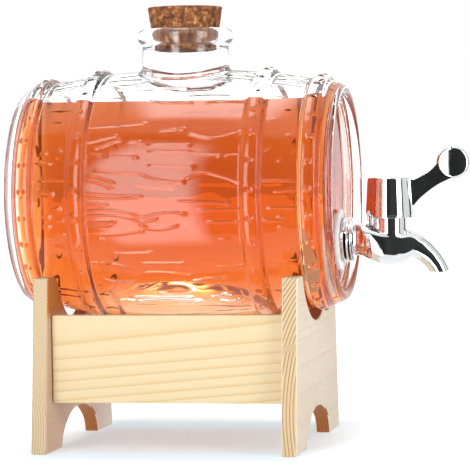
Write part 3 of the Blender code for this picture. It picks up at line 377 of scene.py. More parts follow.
def barrel_outside():
    """The whole outer skin of the barrel, with hoops, rivets and grain."""
    skin_end = HALF_LENGTH - BEAD_R
    stations = []
    x = -skin_end
    while x < skin_end:
        stations.append(x)
        near = min(abs(x - place) for place in HOOPS)
        x += 0.42 if near < 5.4 else 0.8
    stations.append(skin_end)
    degrees = np.concatenate([np.arange(-58.0, 76.0, 0.22), np.arange(76.0, 302.0, 0.5)])
    cosine, sine = np.cos(np.radians(degrees)), np.sin(np.radians(degrees))
    recess = END_R - 2 * BEAD_R
    edge = [(r, FACE_X) for r in np.linspace(2.0, recess - 2.0, 10)]
    edge += arc((recess - 1.4, FACE_X + 1.4), 1.4, -90.0, 0.0, 5)
    edge += arc((END_R - BEAD_R, skin_end), BEAD_R, 180.0, 8.0, 14)

    def turned(r, place):
        return ring(place, -r * cosine, AXIS_Z + r * sine)

    rings = [turned(r, -place) for r, place in edge]
    grid_x, grid_a = np.meshgrid(np.array(stations), degrees, indexing="ij")
    wave = 0.05 * np.sin(grid_x / 7.0 + 1.3 * np.sin(np.radians(grid_a) * 3.0))
    bumps = relief(grid_x, grid_a)
    radius = barrel_r(grid_x) + hoop_rise(grid_x, grid_a) + bumps + wave * (np.abs(grid_x) < 60.0)
    rings += [turned(r, place) for r, place in zip(radius, stations)]
    rings += [turned(r, place) for r, place in reversed(edge)]
    return ring_solid("glass_barrel_shell", rings, sharp=60.0)


def cavity(name, grow, level=None):
    """The hollow in the glass, over its thick base, or the drink that fills it up to a level."""
    angles, cosine, sine = circle(288)

    def half(wall, corner):
        end = FACE_X - wall + grow
        centre = barrel_r(end) - WALL - corner
        points = [(r, end) for r in np.linspace(1.5, centre - 1.0, 24)]
        points += [(centre + (corner + grow) * math.sin(t), end - corner + corner * math.cos(t))
                   for t in np.radians(np.linspace(2.0, 80.0, 16))]
        return points + [(barrel_r(x) - WALL + grow, x) for x in np.linspace(end - corner - 1.0, 0.5, 56)]

    left = [(r, -x) for r, x in half(LEFT_WALL, LEFT_CORNER)]
    profile = half(END_WALL, INSIDE_CORNER) + left[::-1]
    rings = []
    for r, x in profile:
        drop = 40.0 * float(smooth_step((abs(x) - PAD_HALF) / 14.0))
        floor = PAD_TOP - 5.0 * (abs(x) / PAD_HALF) ** 2.2 - drop
        floor = floor + PAD_WAVE * np.sin(x / 6.5 + 1.2) * np.sin(7.0 * cosine + x / 11.0)
        down = np.where(sine < -1e-3, (AXIS_Z - floor + grow) / np.maximum(-sine, 1e-3), 1e6)
        wobble = 1.0 + 0.0016 * np.sin(x / 9.0 + 2.0 * np.sin(3.0 * angles)) * (r > 20.0)
        radius = r * wobble
        if r > 12.0:
            radius = soft_min(radius, np.minimum(down, r + 30.0), 3.5)
        if level is not None:
            up = np.where(sine > 1e-3, (level - AXIS_Z) / np.maximum(sine, 1e-3), 1e6)
            radius = np.minimum(radius, up)
        rings.append(ring(x, radius * cosine, AXIS_Z + radius * sine))
    return ring_solid(name, rings, sharp=35.0)


def neck_outside():
    """The neck with its lip, and a foot that flows into the barrel's crown."""
    _, cosine, sine = circle(144)

    def crown(r):
        across = r * sine
        return AXIS_Z + np.sqrt(np.maximum(barrel_r(r * cosine) ** 2 - across ** 2, 0.0))

    lip_bottom = LIP_TOP - LIP_H
    shape = [(r, LIP_TOP) for r in (4.0, 12.0, 17.0)]
    shape += arc((LIP_R - 3.0, LIP_TOP - 3.0), 3.0, 90.0, 0.0, 8)
    shape += arc((LIP_R - 3.0, lip_bottom + 3.0), 3.0, 0.0, -62.0, 6)
    shape += [(NECK_R, lip_bottom - 0.9), (NECK_R, lip_bottom - 3.0)]
    foot = 3.0
    for share in np.linspace(0.0, 1.0, 9):
        turn = share * math.pi / 2
        r = NECK_R + foot * (1.0 - math.cos(turn))
        shape.append((r, crown(r) + foot * (1.0 - math.sin(turn)) - 0.25 * share))
    shape += [(NECK_R + foot, crown(NECK_R + foot) - drop) for drop in (2.0, 12.0)]
    rings = [ring(r * cosine, r * sine, z) for r, z in shape]
    return ring_solid("neck_tool", rings, sharp=60.0)


def glass_barrel():
    """The moulded glass barrel as one closed shell."""
    shell = barrel_outside()
    combine(shell, neck_outside(), "UNION")
    combine(shell, cavity("cavity_tool", 0.0))
    lip_bottom = LIP_TOP - LIP_H
    bore = [(5.0, LIP_TOP + 5.0), (15.9, LIP_TOP + 5.0), (15.9, LIP_TOP - 0.2), (15.75, LIP_TOP - 1.2),
            (15.75, lip_bottom + 2.4), (16.1, lip_bottom + 0.9), (16.8, lip_bottom - 1.4),
            (BORE_R, lip_bottom - 3.0), (BORE_R, 168.0), (17.6, 164.5), (19.5, 161.0), (5.0, 160.0)]
    combine(shell, lathe("bore_tool", bore, 144))
    hole = [(1.0, 55.0), (6.4, 55.0), (6.4, 75.0), (1.0, 75.0)]
    combine(shell, lathe("tap_hole_tool", hole, 64, along_x=True))
    return settle(shell, 50.0)


def sweep(name, points, sides=48):
    """A round tube on a smooth curve through (x, z, radius) points in the upright middle plane."""
    data = bpy.data.curves.new(name, "CURVE")
    data.dimensions = "3D"
    data.bevel_depth = 1.0
    data.bevel_resolution = (sides - 4) // 2
    data.use_fill_caps = True
    data.resolution_u = 14
    spline = data.splines.new("BEZIER")
    spline.bezier_points.add(len(points) - 1)
    for knot, (x, z, radius) in zip(spline.bezier_points, points):
        knot.co = ((x + SHIFT) * MM, 0.0, z * MM)
        knot.radius = radius * MM
        knot.handle_left_type = knot.handle_right_type = "AUTO"
    curve = add(name, data)
    mesh = evaluated(curve)
    bpy.data.objects.remove(curve, do_unlink=True)
    work = bmesh.new()
    work.from_mesh(mesh)
    bmesh.ops.remove_doubles(work, verts=work.verts, dist=1e-6)
    work.to_mesh(mesh)
    work.free()
    return add(name, mesh)


def box_tool(name, low, high):
    """A plain box between two corners, used to cut."""
    (a, b, c), (d, e, f) = low, high
    points = [(x, y, z) for x in (a, d) for y in (b, e) for z in (c, f)]
    faces = [(0, 1, 3, 2), (4, 6, 7, 5), (0, 4, 5, 1), (2, 3, 7, 6), (0, 2, 6, 4), (1, 5, 7, 3)]
    return solid(name, points, faces)


def melt(item, voxel, rounds):
    """Fuse a piece's joined shapes and smooth the creases between them, as a casting's are."""
    remesh = item.modifiers.new("fuse", "REMESH")
    remesh.mode = "VOXEL"
    remesh.voxel_size = voxel * MM
    smooth = item.modifiers.new("smooth", "SMOOTH")
    smooth.factor = 0.5
    smooth.iterations = rounds
    return settle(item, 60.0)


# Ways along the tap body as shares of reach, fall and radius
BODY_X = 76.4
BULB = ((0.00, 0.00, 0.86), (0.13, 0.00, 0.88), (0.27, 0.42, 0.97), (0.43, 0.84, 1.0),
        (0.60, 1.00, 0.98), (0.76, 0.94, 0.88), (0.90, 0.85, 0.66), (1.00, 0.82, 0.34))
BULB_REACH, BULB_FALL, BULB_R = 28.5, 3.3, 8.2
BULB_WIDEST, BULB_DEPTH, BULB_TAIL_DEPTH = 12.2, 9.5, 5.9
SPOUT_REACH, SPOUT_FALL, SPOUT_R, OUTLET_R = 22.1, 14.5, 6.25, 3.5
SPOUT = ((0.17, 0.105, 1.0), (0.37, 0.135, 0.99), (0.58, 0.255, 0.87), (0.776, 0.49, 0.755),
         (0.916, 0.75, 0.70), (1.03, 1.08, 0.68))
OUTLET = ((0.43, 0.33, 0.80), (0.60, 0.315, 0.86), (0.776, 0.49, 0.92), (0.916, 0.75, 0.97),
          (1.10, 1.30, 1.0))


def along(shares, start, reach, fall, radius):
    """(x, z, radius) points from shares of a way's reach, fall and radius, starting at the tap's height."""
    return [(start + reach * a, TAP_Z - fall * d, radius * r) for a, d, r in shares]


def boxy(wave):
    """A sine or cosine that draws a slightly squared circle."""
    return np.sign(wave) * np.abs(wave) ** 0.8


def tap_body():
    """The cast and chromed tap body with its peg, neck and spout."""
    _, cosine, sine = circle(96)
    rings = []
    for x, z, half in spline(along(BULB, BODY_X, BULB_REACH, BULB_FALL, BULB_R), 12):
        place = x - BODY_X - BULB_WIDEST
        if place < 0.0:
            depth = BULB_DEPTH * math.sqrt(1.0 - (place / (BULB_WIDEST * 1.45)) ** 2)
        else:
            tail = float(smooth_step((place - 1.4) / 13.5))
            depth = BULB_DEPTH - (BULB_DEPTH - BULB_TAIL_DEPTH) * tail
        depth = min(depth, half * 1.25)
        rings.append(ring(x, depth * boxy(cosine), z + half * boxy(sine)))
    body = ring_solid("tap_body_cast", rings)
    combine(body, sweep("spout_tool", along(SPOUT, VALVE_X, SPOUT_REACH, SPOUT_FALL, SPOUT_R)), "UNION")
    neck = [(1.0, 88.0), (7.7, 88.0), (7.7, 106.4), (1.0, 106.4)]
    combine(body, lathe("neck_tool", neck, 96, VALVE_X), "UNION")
    melt(body, 0.24, 14)
    peg = [(0.2, 93.5), (PEG_R, 93.5), (PEG_R, 102.4), (0.9, 102.7), (0.2, 102.7)]
    combine(body, lathe("peg_tool", peg, 32, VALVE_X - PEG_REACH), "UNION")
    shank = [(1.0, 54.3), (5.6, 54.3), (6.0, 54.7), (6.0, 79.0), (1.0, 79.0)]
    combine(body, lathe("shank_tool", shank, 64, along_x=True), "UNION")
    combine(body, box_tool("mouth_tool", (100.0, -8.0, 66.0), (126.0, 8.0, 76.2)))
    combine(body, box_tool("rear_tool", (70.0, -9.9, 80.0), (BODY_X, 9.9, 84.3)))
    outlet = along(OUTLET, VALVE_X, SPOUT_REACH, SPOUT_FALL, OUTLET_R)
    combine(body, sweep("outlet_tool", outlet, 40))
    bore = [(0.5, 50.0), (3.1, 50.0), (3.1, 86.0), (0.5, 86.0)]
    combine(body, lathe("inlet_tool", bore, 40, along_x=True))
    chamber = [(0.5, 112.0), (6.0, 112.0), (6.0, 101.7), (5.0, 101.7), (5.0, 88.0), (0.5, 88.0)]
    combine(body, lathe("chamber_tool", chamber, 64, VALVE_X))
    return body


def notch_tool():
    """The cam notch's cutter, as in the CAD."""
    slack = math.asin((PEG_R + 0.4) / PEG_REACH)
    full_turn = math.radians(HANDLE_TURN)
    end = full_turn + slack
    count = 24
    angles = [-slack] + [slack + (end - slack) * i / count for i in range(count + 1)]
    points, faces = [], []
    for angle in angles:
        share = min(max((angle - slack) / full_turn, 0.0), 1.0)
        top = 103.0 - VALVE_TRAVEL * share
        for r, z in ((7.9, 96.0), (11.3, 96.0), (11.3, top), (7.9, top)):
            points.append((VALVE_X + r * math.cos(math.pi + angle), r * math.sin(math.pi + angle), z))
    last = len(points) - 4
    for row in range(0, last, 4):
        for i, j in ((0, 1), (1, 2), (2, 3), (3, 0)):
            faces.append((row + i, row + j, row + 4 + j, row + 4 + i))
    faces += [(0, 1, 2, 3), (last + 3, last + 2, last + 1, last)]
    return solid("notch_tool", points, faces)


def tap_handle():
    """The chromed handle: tapered cap, flat lever and dished disc."""
    profile = [(0.5, 118.5), (5.0, 118.5)] + arc((8.95, 117.4), 1.1, 90.0, 0.0, 6)
    profile += [(11.0, 101.5), (10.8, 101.35), (10.8, 101.2), (11.05, 101.1), (11.0, 100.6), (10.6, 100.4),
                (0.5, 100.4)]
    cap = lathe("tap_handle_cast", profile, 160, VALVE_X)
    disc_x, disc_z = VALVE_X + 28.5, 124.7
    root, edge, span, rise, foot = 9.2, 10.9, 17.6, 19.0, 105.7
    half_thick = 1.8
    lower = ((0.0, 0.0), (0.15, 0.16), (0.41, 0.355), (0.65, 0.50), (0.88, 0.60), (1.0, 0.66))
    upper = ((1.0, 1.40), (0.88, 1.30), (0.57, 0.955), (0.41, 0.82), (0.15, 0.685), (0.0, 0.625))
    outline = [(root, foot)]
    for shares in (lower, upper):
        knots = [(edge + span * a, foot + rise * u) for a, u in shares]
        outline += [tuple(knot) for knot in spline(knots, 5)]
    outline.append((root, 117.6))
    count = len(outline)
    points = [(VALVE_X + x, y, z) for y in (-half_thick, half_thick) for x, z in outline]
    faces = [tuple(range(count)), tuple(range(2 * count - 1, count - 1, -1))]
    faces += [(i, count + i, count + (i + 1) % count, (i + 1) % count) for i in range(count)]
    blade = solid("blade_tool", points, faces, 20.0)
    bevel = blade.modifiers.new("edges", "BEVEL")
    bevel.width = 0.55 * MM
    bevel.segments = 3
    bevel.limit_method = "ANGLE"
    bevel.angle_limit = math.radians(50.0)
    settle(blade, 60.0)
    half = [(r, 2.3 - 0.3 * (r / 5.6) ** 2) for r in np.linspace(0.5, 5.3, 14)]
    half += arc((5.6, 0.2), 1.8, 86.0, 4.0, 12)
    disc = lathe("disc_tool", half + [(r, -z) for r, z in reversed(half)], 128)
    back = Matrix.Translation(Vector((-SHIFT * MM, 0.0, 0.0)))
    place = Matrix.Translation(Vector((disc_x + SHIFT, 0.0, disc_z)) * MM)
    disc.data.transform(place @ Matrix.Rotation(math.pi / 2, 4, "X") @ back)
    combine(cap, blade, "UNION")
    combine(cap, disc, "UNION")
    inside = [(0.5, 125.0), (2.9, 125.0), (2.9, 115.2), (1.3, 115.2), (1.3, 113.2), (2.7, 113.2),
              (2.7, 110.5), (8.3, 110.5), (8.3, 96.0), (0.5, 96.0)]
    combine(cap, lathe("inside_tool", inside, 96, VALVE_X))
    combine(cap, notch_tool())
    settle(cap, 35.0)
    for polygon in cap.data.polygons:
        level = abs(abs(polygon.center.y) - half_thick * MM) < 0.02 * MM
        if level and abs(polygon.normal.y) > 0.999:
            polygon.use_smooth = False
    return cap


def cork():
    """The tapered cork with its small pits and chips."""
    dice = random.Random(5)
    profile = [(r, 196.7) for r in np.linspace(0.6, 16.0, 18)] + [(16.7, 196.55), (17.0, 196.1)]
    for share in np.linspace(0.0, 1.0, 26):
        profile.append((16.95 - 2.95 * (0.04 + 0.93 * share), 195.9 - 18.2 * share))
    profile += [(13.5, 177.5)] + [(r, 177.5) for r in np.linspace(12.5, 0.6, 10)]
    _, cosine, sine = circle(150)
    rings = np.stack([ring(r * cosine, r * sine, z) for r, z in profile])
    for _ in range(230):
        row = dice.randrange(6, len(profile) - 8)
        centre = rings[row, dice.randrange(len(cosine))].copy()
        size = dice.uniform(0.35, 1.0)
        squeeze = np.array([1.0, 1.0, dice.uniform(0.7, 2.2)])
        away = np.linalg.norm((rings - centre) * squeeze, axis=2)
        dent = 0.5 * size * np.exp(-(away / size) ** 2)
        inward = -rings.copy()
        inward[..., 2] = np.where(rings[..., 2] > 195.0, -12.0, 0.0)
        inward /= np.maximum(np.linalg.norm(inward, axis=2, keepdims=True), 1e-6)
        rings += inward * dent[..., None]
    return ring_solid("cork", rings, sharp=50.0)


def spring_coil():
    """The valve's spring, one closed wire as long as its solid, with its lowest and highest place."""
    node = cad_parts["valve_spring"]
    heights = [(node.matrix_world @ Vector(corner)).z / MM for corner in node.bound_box]
    low, high = min(heights), max(heights)
    wire, coil_r, turns = 0.35, 3.6, 3.5
    _, cosine, sine = circle(12)
    out = coil_r + wire * cosine
    rings = []
    for share in np.linspace(0.0, 1.0, 112):
        turn = math.tau * turns * share
        rise = low + wire + (high - low - 2.0 * wire) * share + wire * sine
        rings.append(ring(VALVE_X + out * math.cos(turn), out * math.sin(turn), rise))
    return ring_solid("valve_coil", rings), low, high


class Nodes:
    """A node tree, with short calls for its nodes and links."""

    def __init__(self, tree):
        self.tree = tree
        self.coords = None

    def feed(self, node, key, value):
        """Link a socket to a node's input, or give the input a value."""
        if isinstance(value, bpy.types.NodeSocket):
            self.tree.links.new(value, node.inputs[key])
        else:
            node.inputs[key].default_value = value

    def node(self, kind, inputs=None, **settings):
        """A new node with its settings and inputs."""
        made = self.tree.nodes.new(kind)
        for key, value in settings.items():
            setattr(made, key, value)
        for key, value in (inputs or {}).items():
            self.feed(made, key, value)
        return made

    def place(self):
        """The place that is shaded."""
        if self.coords is None:
            self.coords = self.node("ShaderNodeTexCoord").outputs["Object"]
        return self.coords

    def parts(self, vector=None):
        """The X, Y and Z of a vector, or of the place that is shaded."""
        return self.node("ShaderNodeSeparateXYZ", {0: vector or self.place()}).outputs

    def math(self, operation, one, two=0.0, three=0.0):
        return self.node("ShaderNodeMath", {0: one, 1: two, 2: three}, operation=operation).outputs[0]

    def times(self, one, two):
        return self.math("MULTIPLY", one, two)

    def minus(self, one, two):
        return self.math("SUBTRACT", one, two)

    def length(self, one, two):
        """The distance that two lengths at right angles make."""
        return self.math("SQRT", self.math("ADD", self.times(one, one), self.times(two, two)))

    def span(self, value, start, end, low=0.0, high=1.0):
        """From low to high while a value goes from start to end."""
        return self.node("ShaderNodeMapRange", {"Value": value, "From Min": start, "From Max": end,
                                                "To Min": low, "To Max": high}).outputs[0]

    def fade(self, value, start, end):
        """From 0 to 1 while a length goes from start to end, in millimetres."""
        return self.span(value, start * MM, end * MM)

    def ramp(self, factor, stops, interpolation="LINEAR"):
        """A colour ramp through (place, grey or colour) stops."""
        made = self.node("ShaderNodeValToRGB", {"Fac": factor})
        bar = made.color_ramp
        bar.interpolation = interpolation
        for index, (place, colour) in enumerate(stops):
            stop = bar.elements[index] if index < 2 else bar.elements.new(place)
            stop.position = place
            stop.color = (*(colour if isinstance(colour, tuple) else grey(colour)), 1.0)
        return made.outputs["Color"]


class Tree(Nodes):
    """A new material's node tree."""

    def __init__(self, name):
        self.material = bpy.data.materials.new(name)
        self.material.use_nodes = True
        super().__init__(self.material.node_tree)

    def set(self, **values):
        """Feed the shader's inputs."""
        for key, value in values.items():
            self.feed(self.tree.nodes["Principled BSDF"], key.replace("_", " "), value)

    def scaled(self, scale):
        return self.node("ShaderNodeMapping", {"Vector": self.place(), "Scale": scale}).outputs[0]

    def noise(self, scale, detail=3.0, roughness=0.55, vector=None):
        return self.node("ShaderNodeTexNoise", {"Vector": vector or self.place(), "Scale": scale,
                                                "Detail": detail, "Roughness": roughness}).outputs["Fac"]

    def mix(self, factor, one, two):
        """A blend of two colours."""
        one, two = ((*colour, 1.0) if isinstance(colour, tuple) else colour for colour in (one, two))
        return self.node("ShaderNodeMix", {0: factor, 6: one, 7: two}, data_type="RGBA").outputs[2]

    def bump(self, height, strength, distance):
        made = self.node("ShaderNodeBump", {"Height": height, "Strength": strength, "Distance": distance})
        self.set(Normal=made.outputs[0])


def linear(red, green, blue):
    """A colour given as it is seen on a screen, 0 to 255, as linear light."""
    return tuple((c / 255.0 / 12.92) if c <= 10 else ((c / 255.0 + 0.055) / 1.055) ** 2.4
                 for c in (red, green, blue))


CHROME = (0.90, 0.91, 0.92)


def grey(value):
    """A colour whose red, green and blue are one value."""
    return (value, value, value)


def glass_material():
    """Clear glass. Where the drink wets it, light bends only as it does between glass and drink.

    At the drink's two ends and over the thick base it bends less than that, or not at all, because the
    render would else leave them black.
    """
    tree = Tree("clear_moulded_glass")
    tree.set(Base_Color=(0.970, 0.980, 0.984, 1.0), Roughness=0.0, Transmission_Weight=1.0)
    tree.bump(tree.noise(70.0, 2.0, 0.5), 0.03, 0.0006)
    parts = tree.parts()
    along = tree.minus(parts["X"], SHIFT * MM)
    reach = tree.length(parts["Y"], tree.minus(parts["Z"], AXIS_Z * MM))
    bulge = tree.times(tree.times(along, along), (MID_R - END_R) / BULGE_REACH ** 2 / MM)
    inside = tree.math("LESS_THAN", reach, tree.minus((MID_R - 2.2) * MM, bulge))
    short = tree.math("LESS_THAN", tree.math("ABSOLUTE", along), (FACE_X - 2.0) * MM)
    wet = tree.times(tree.times(inside, short), tree.math("LESS_THAN", parts["Z"], LEVEL_Z * MM))
    right = FACE_X - END_WALL - INSIDE_CORNER
    left = FACE_X - LEFT_WALL - LEFT_CORNER
    end = tree.math("MAXIMUM", tree.fade(along, right - 3.0, right + 1.0),
                    tree.fade(along, 1.0 - left, -2.0 - left))
    base = tree.times(tree.fade(parts["Z"], 82.0, 77.0), 0.6)
    plain = tree.math("MAXIMUM", end, base)
    wet_index = GLASS_INDEX / DRINK_INDEX
    step = tree.math("MULTIPLY_ADD", plain, 1.0 - wet_index, wet_index - GLASS_INDEX)
    tree.set(IOR=tree.math("MULTIPLY_ADD", wet, step, GLASS_INDEX))
    return tree.material


def drink_material():
    """The drink. Its sides lie in the glass, which bends the light there, so only its top has an index.

    Its faint glow stands for the light that the render loses inside the glass.
    """
    tree = Tree("orange_drink")
    tree.set(Base_Color=(1.0, 1.0, 1.0, 1.0), Roughness=0.0, Transmission_Weight=1.0,
             Emission_Color=(1.0, 0.25, 0.06, 1.0), Emission_Strength=0.085)
    free = tree.math("GREATER_THAN", tree.parts()["Z"], (LEVEL_Z - 0.05) * MM)
    tree.set(IOR=tree.math("MULTIPLY_ADD", free, DRINK_INDEX - 1.0, 1.0))
    volume = tree.node("ShaderNodeVolumeAbsorption", {"Color": (0.828, 0.440, 0.0, 1.0), "Density": 50.0})
    tree.feed(tree.tree.nodes["Material Output"], "Volume", volume.outputs[0])
    return tree.material


def pine_material(name, along_axis, pith, spacing, pale, dark, slope=0.0, split=None, contrast=1.0,
                  face=None, sawn_and_shade=None, shade_and_drink_light=None, painted_light_back=None):
    """Pine with growth rings round a pith line along one axis; places are in metres in the CAD's frame.

    Below a split height the rings lie round a second pith. A board's broad faces take the face colour, with
    faint rings, and may grow lighter towards the back, which is painted light. Its curves cut by the saw
    take a darker orange-brown, partly the wood's own colour and partly painted shade. The tops of faces
    that look towards the tap may take an orange-brown of painted shade, lit as through the drink.
    """
    tree = Tree(name)
    grain = tuple(0.10 if axis == along_axis else 1.0 for axis in "XYZ")
    warp = tree.noise(24.0, 2.0, 0.5, tree.scaled(grain))
    parts = tree.parts()
    one, two = (parts[axis] for axis in "XYZ" if axis != along_axis)

    def distance(point):
        across, above = tree.minus(one, point[0]), tree.minus(two, point[1])
        if slope:
            above = tree.minus(above, tree.times(parts[along_axis], slope))
        return tree.length(across, above)

    reach = distance(pith[0])
    if split is not None:
        upper = tree.span(parts["Z"], split - 0.0015, split + 0.0015)
        reach = tree.math("ADD", tree.times(reach, upper),
                          tree.times(distance(pith[1]), tree.minus(1.0, upper)))
    phase = tree.math("ADD", tree.math("DIVIDE", reach, spacing), tree.times(warp, 1.3))
    late = tree.ramp(tree.math("FRACT", phase), ((0.0, 0.15), (0.08, 0.0), (0.58, 0.05), (0.80, 0.42),
                                                 (0.94, 1.0), (1.0, 0.15)))
    fade = tree.noise(7.0, 2.0, 0.5, tree.scaled(grain))
    amount = tree.times(late, tree.math("MULTIPLY_ADD", fade, 1.3, -0.05))
    normal = tree.parts(tree.node("ShaderNodeNewGeometry").outputs["Normal"])
    broad = tree.math("GREATER_THAN", tree.math("ABSOLUTE", normal["X"]), 0.6)
    strength, base = contrast, pale
    if face is not None:
        strength = tree.math("MULTIPLY_ADD", broad, 0.16 - contrast, contrast)
    amount = tree.math("MINIMUM", tree.times(amount, strength), 1.0)
    if face is not None:
        # Painted light: the broad faces grow lighter from front to back.
        if painted_light_back is not None:
            face = tree.mix(tree.fade(parts["Y"], -50.0, 50.0), face, painted_light_back)
        base = tree.mix(broad, base, face)
    # Painted shade, tinted orange as by light through the drink, on the tops of faces that look towards the
    # tap.
    if shade_and_drink_light is not None:
        high = tree.span(parts["Z"], 0.0575, 0.0625)
        base = tree.mix(tree.times(tree.math("GREATER_THAN", normal["X"], 0.6), high), base, shade_and_drink_light)
    colour = tree.mix(amount, base, dark)
    fine = tuple(3.0 if axis == along_axis else 34.0 for axis in "XYZ")
    fibres = tree.noise(28.0, 4.0, 0.65, tree.scaled(fine))
    colour = tree.mix(tree.ramp(fibres, ((0.35, 0.0), (0.75, 0.12))), colour, dark)
    blotch = tree.noise(34.0, 3.0, 0.6)
    colour = tree.mix(tree.ramp(blotch, ((0.45, 0.0), (0.85, 0.10))), colour, linear(222, 178, 126))
    # The curves cut by the saw take a darker orange-brown: partly the wood's own colour, partly painted
    # shade.
    if sawn_and_shade is not None:
        middle = tree.math("LESS_THAN", tree.math("ABSOLUTE", parts["Y"]), 0.0395)
        curve = tree.times(tree.minus(1.0, broad), middle)
        colour = tree.mix(curve, colour, tree.mix(amount, sawn_and_shade, tuple(0.55 * c for c in sawn_and_shade)))
    tree.set(IOR=1.45, Base_Color=colour, Roughness=tree.ramp(fibres, ((0.3, 0.52), (0.8, 0.68))))
    tree.bump(tree.math("ADD", tree.times(fibres, 0.6), tree.times(late, 0.5)), 0.25, 0.00018)
    return tree.material


def cork_material():
    """Cork of coarse grains, mottled and pitted."""
    tree = Tree("natural_cork")
    grains = tree.node("ShaderNodeTexVoronoi", {"Vector": tree.place(), "Scale": 620.0, "Randomness": 1.0})
    mottle = tree.noise(420.0, 4.0, 0.7)
    base = tree.ramp(mottle, ((0.36, linear(48, 20, 6)), (0.45, linear(106, 57, 26)),
                              (0.55, linear(148, 92, 48)), (0.68, linear(214, 160, 104))))
    tint = tree.ramp(grains.outputs["Color"], ((0.2, 0.0), (0.9, 0.35)))
    base = tree.mix(tint, base, linear(150, 84, 34))
    pits = tree.ramp(tree.noise(900.0, 3.0, 0.7), ((0.30, 1.0), (0.40, 0.0)))
    base = tree.mix(tree.times(pits, 0.75), base, linear(64, 32, 12))
    tree.set(Roughness=0.8, Base_Color=base)
    tree.bump(tree.minus(mottle, tree.times(pits, 0.5)), 0.5, 0.0004)
    return tree.material


def chrome_material():
    """Bright plating with a slight haze."""
    tree = Tree("bright_chrome")
    tree.set(Base_Color=(*CHROME, 1.0), Metallic=1.0,
             Roughness=tree.ramp(tree.noise(300.0, 3.0, 0.6), ((0.3, 0.035), (0.8, 0.07))))
    tree.bump(tree.noise(180.0, 2.0, 0.5), 0.02, 0.0002)
    return tree.material


def ringed_chrome_material():
    """Chrome whose grooves round the tap's shank are coloured near black as painted shade, save where light
    falls in from above.
    """
    tree = Tree("ringed_chrome")
    parts = tree.parts()
    up = tree.minus(parts["Z"], TAP_Z * MM)
    # Painted shade: the bottoms of the grooves, save near the top, take a near black colour.
    groove_shade = tree.times(tree.math("LESS_THAN", tree.length(parts["Y"], up), 9.3 * MM),
                      tree.math("LESS_THAN", up, 3.2 * MM))
    groove_shade = tree.times(groove_shade, tree.math("LESS_THAN", parts["X"], (75.9 + SHIFT) * MM))
    haze = tree.noise(300.0, 3.0, 0.6)
    tree.set(Metallic=1.0, Base_Color=tree.mix(groove_shade, CHROME, grey(0.015)),
             Roughness=tree.ramp(haze, ((0.3, 0.04), (0.8, 0.09))))
    tree.bump(haze, 0.02, 0.0002)
    return tree.material


def plain_material(name, colour, roughness, metallic=0.0, **more):
    """A moulded or turned surface with a slight unevenness of colour, gloss and height."""
    tree = Tree(name)
    spots = tree.noise(500.0, 3.0, 0.6)
    darker = tuple(c * 0.86 for c in colour)
    tree.set(Base_Color=tree.mix(tree.ramp(spots, ((0.3, 0.0), (0.8, 1.0))), darker, colour),
             Roughness=tree.ramp(spots, ((0.2, roughness * 0.8), (0.9, roughness * 1.2))),
             Metallic=metallic, **more)
    tree.bump(spots, 0.15, 0.0001)
    return tree.material


def dress(item, material):
    """Give an item one material."""
    item.data.materials.clear()
    item.data.materials.append(material)
    for polygon in item.data.polygons:
        polygon.material_index = 0


def piece(item, material, body, slot, *nodes):
    """Finish a made piece, seat it on its body, and let it stand for CAD nodes."""
    dress(item, material)
    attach(item, body)
    if nodes:
        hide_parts(*nodes)


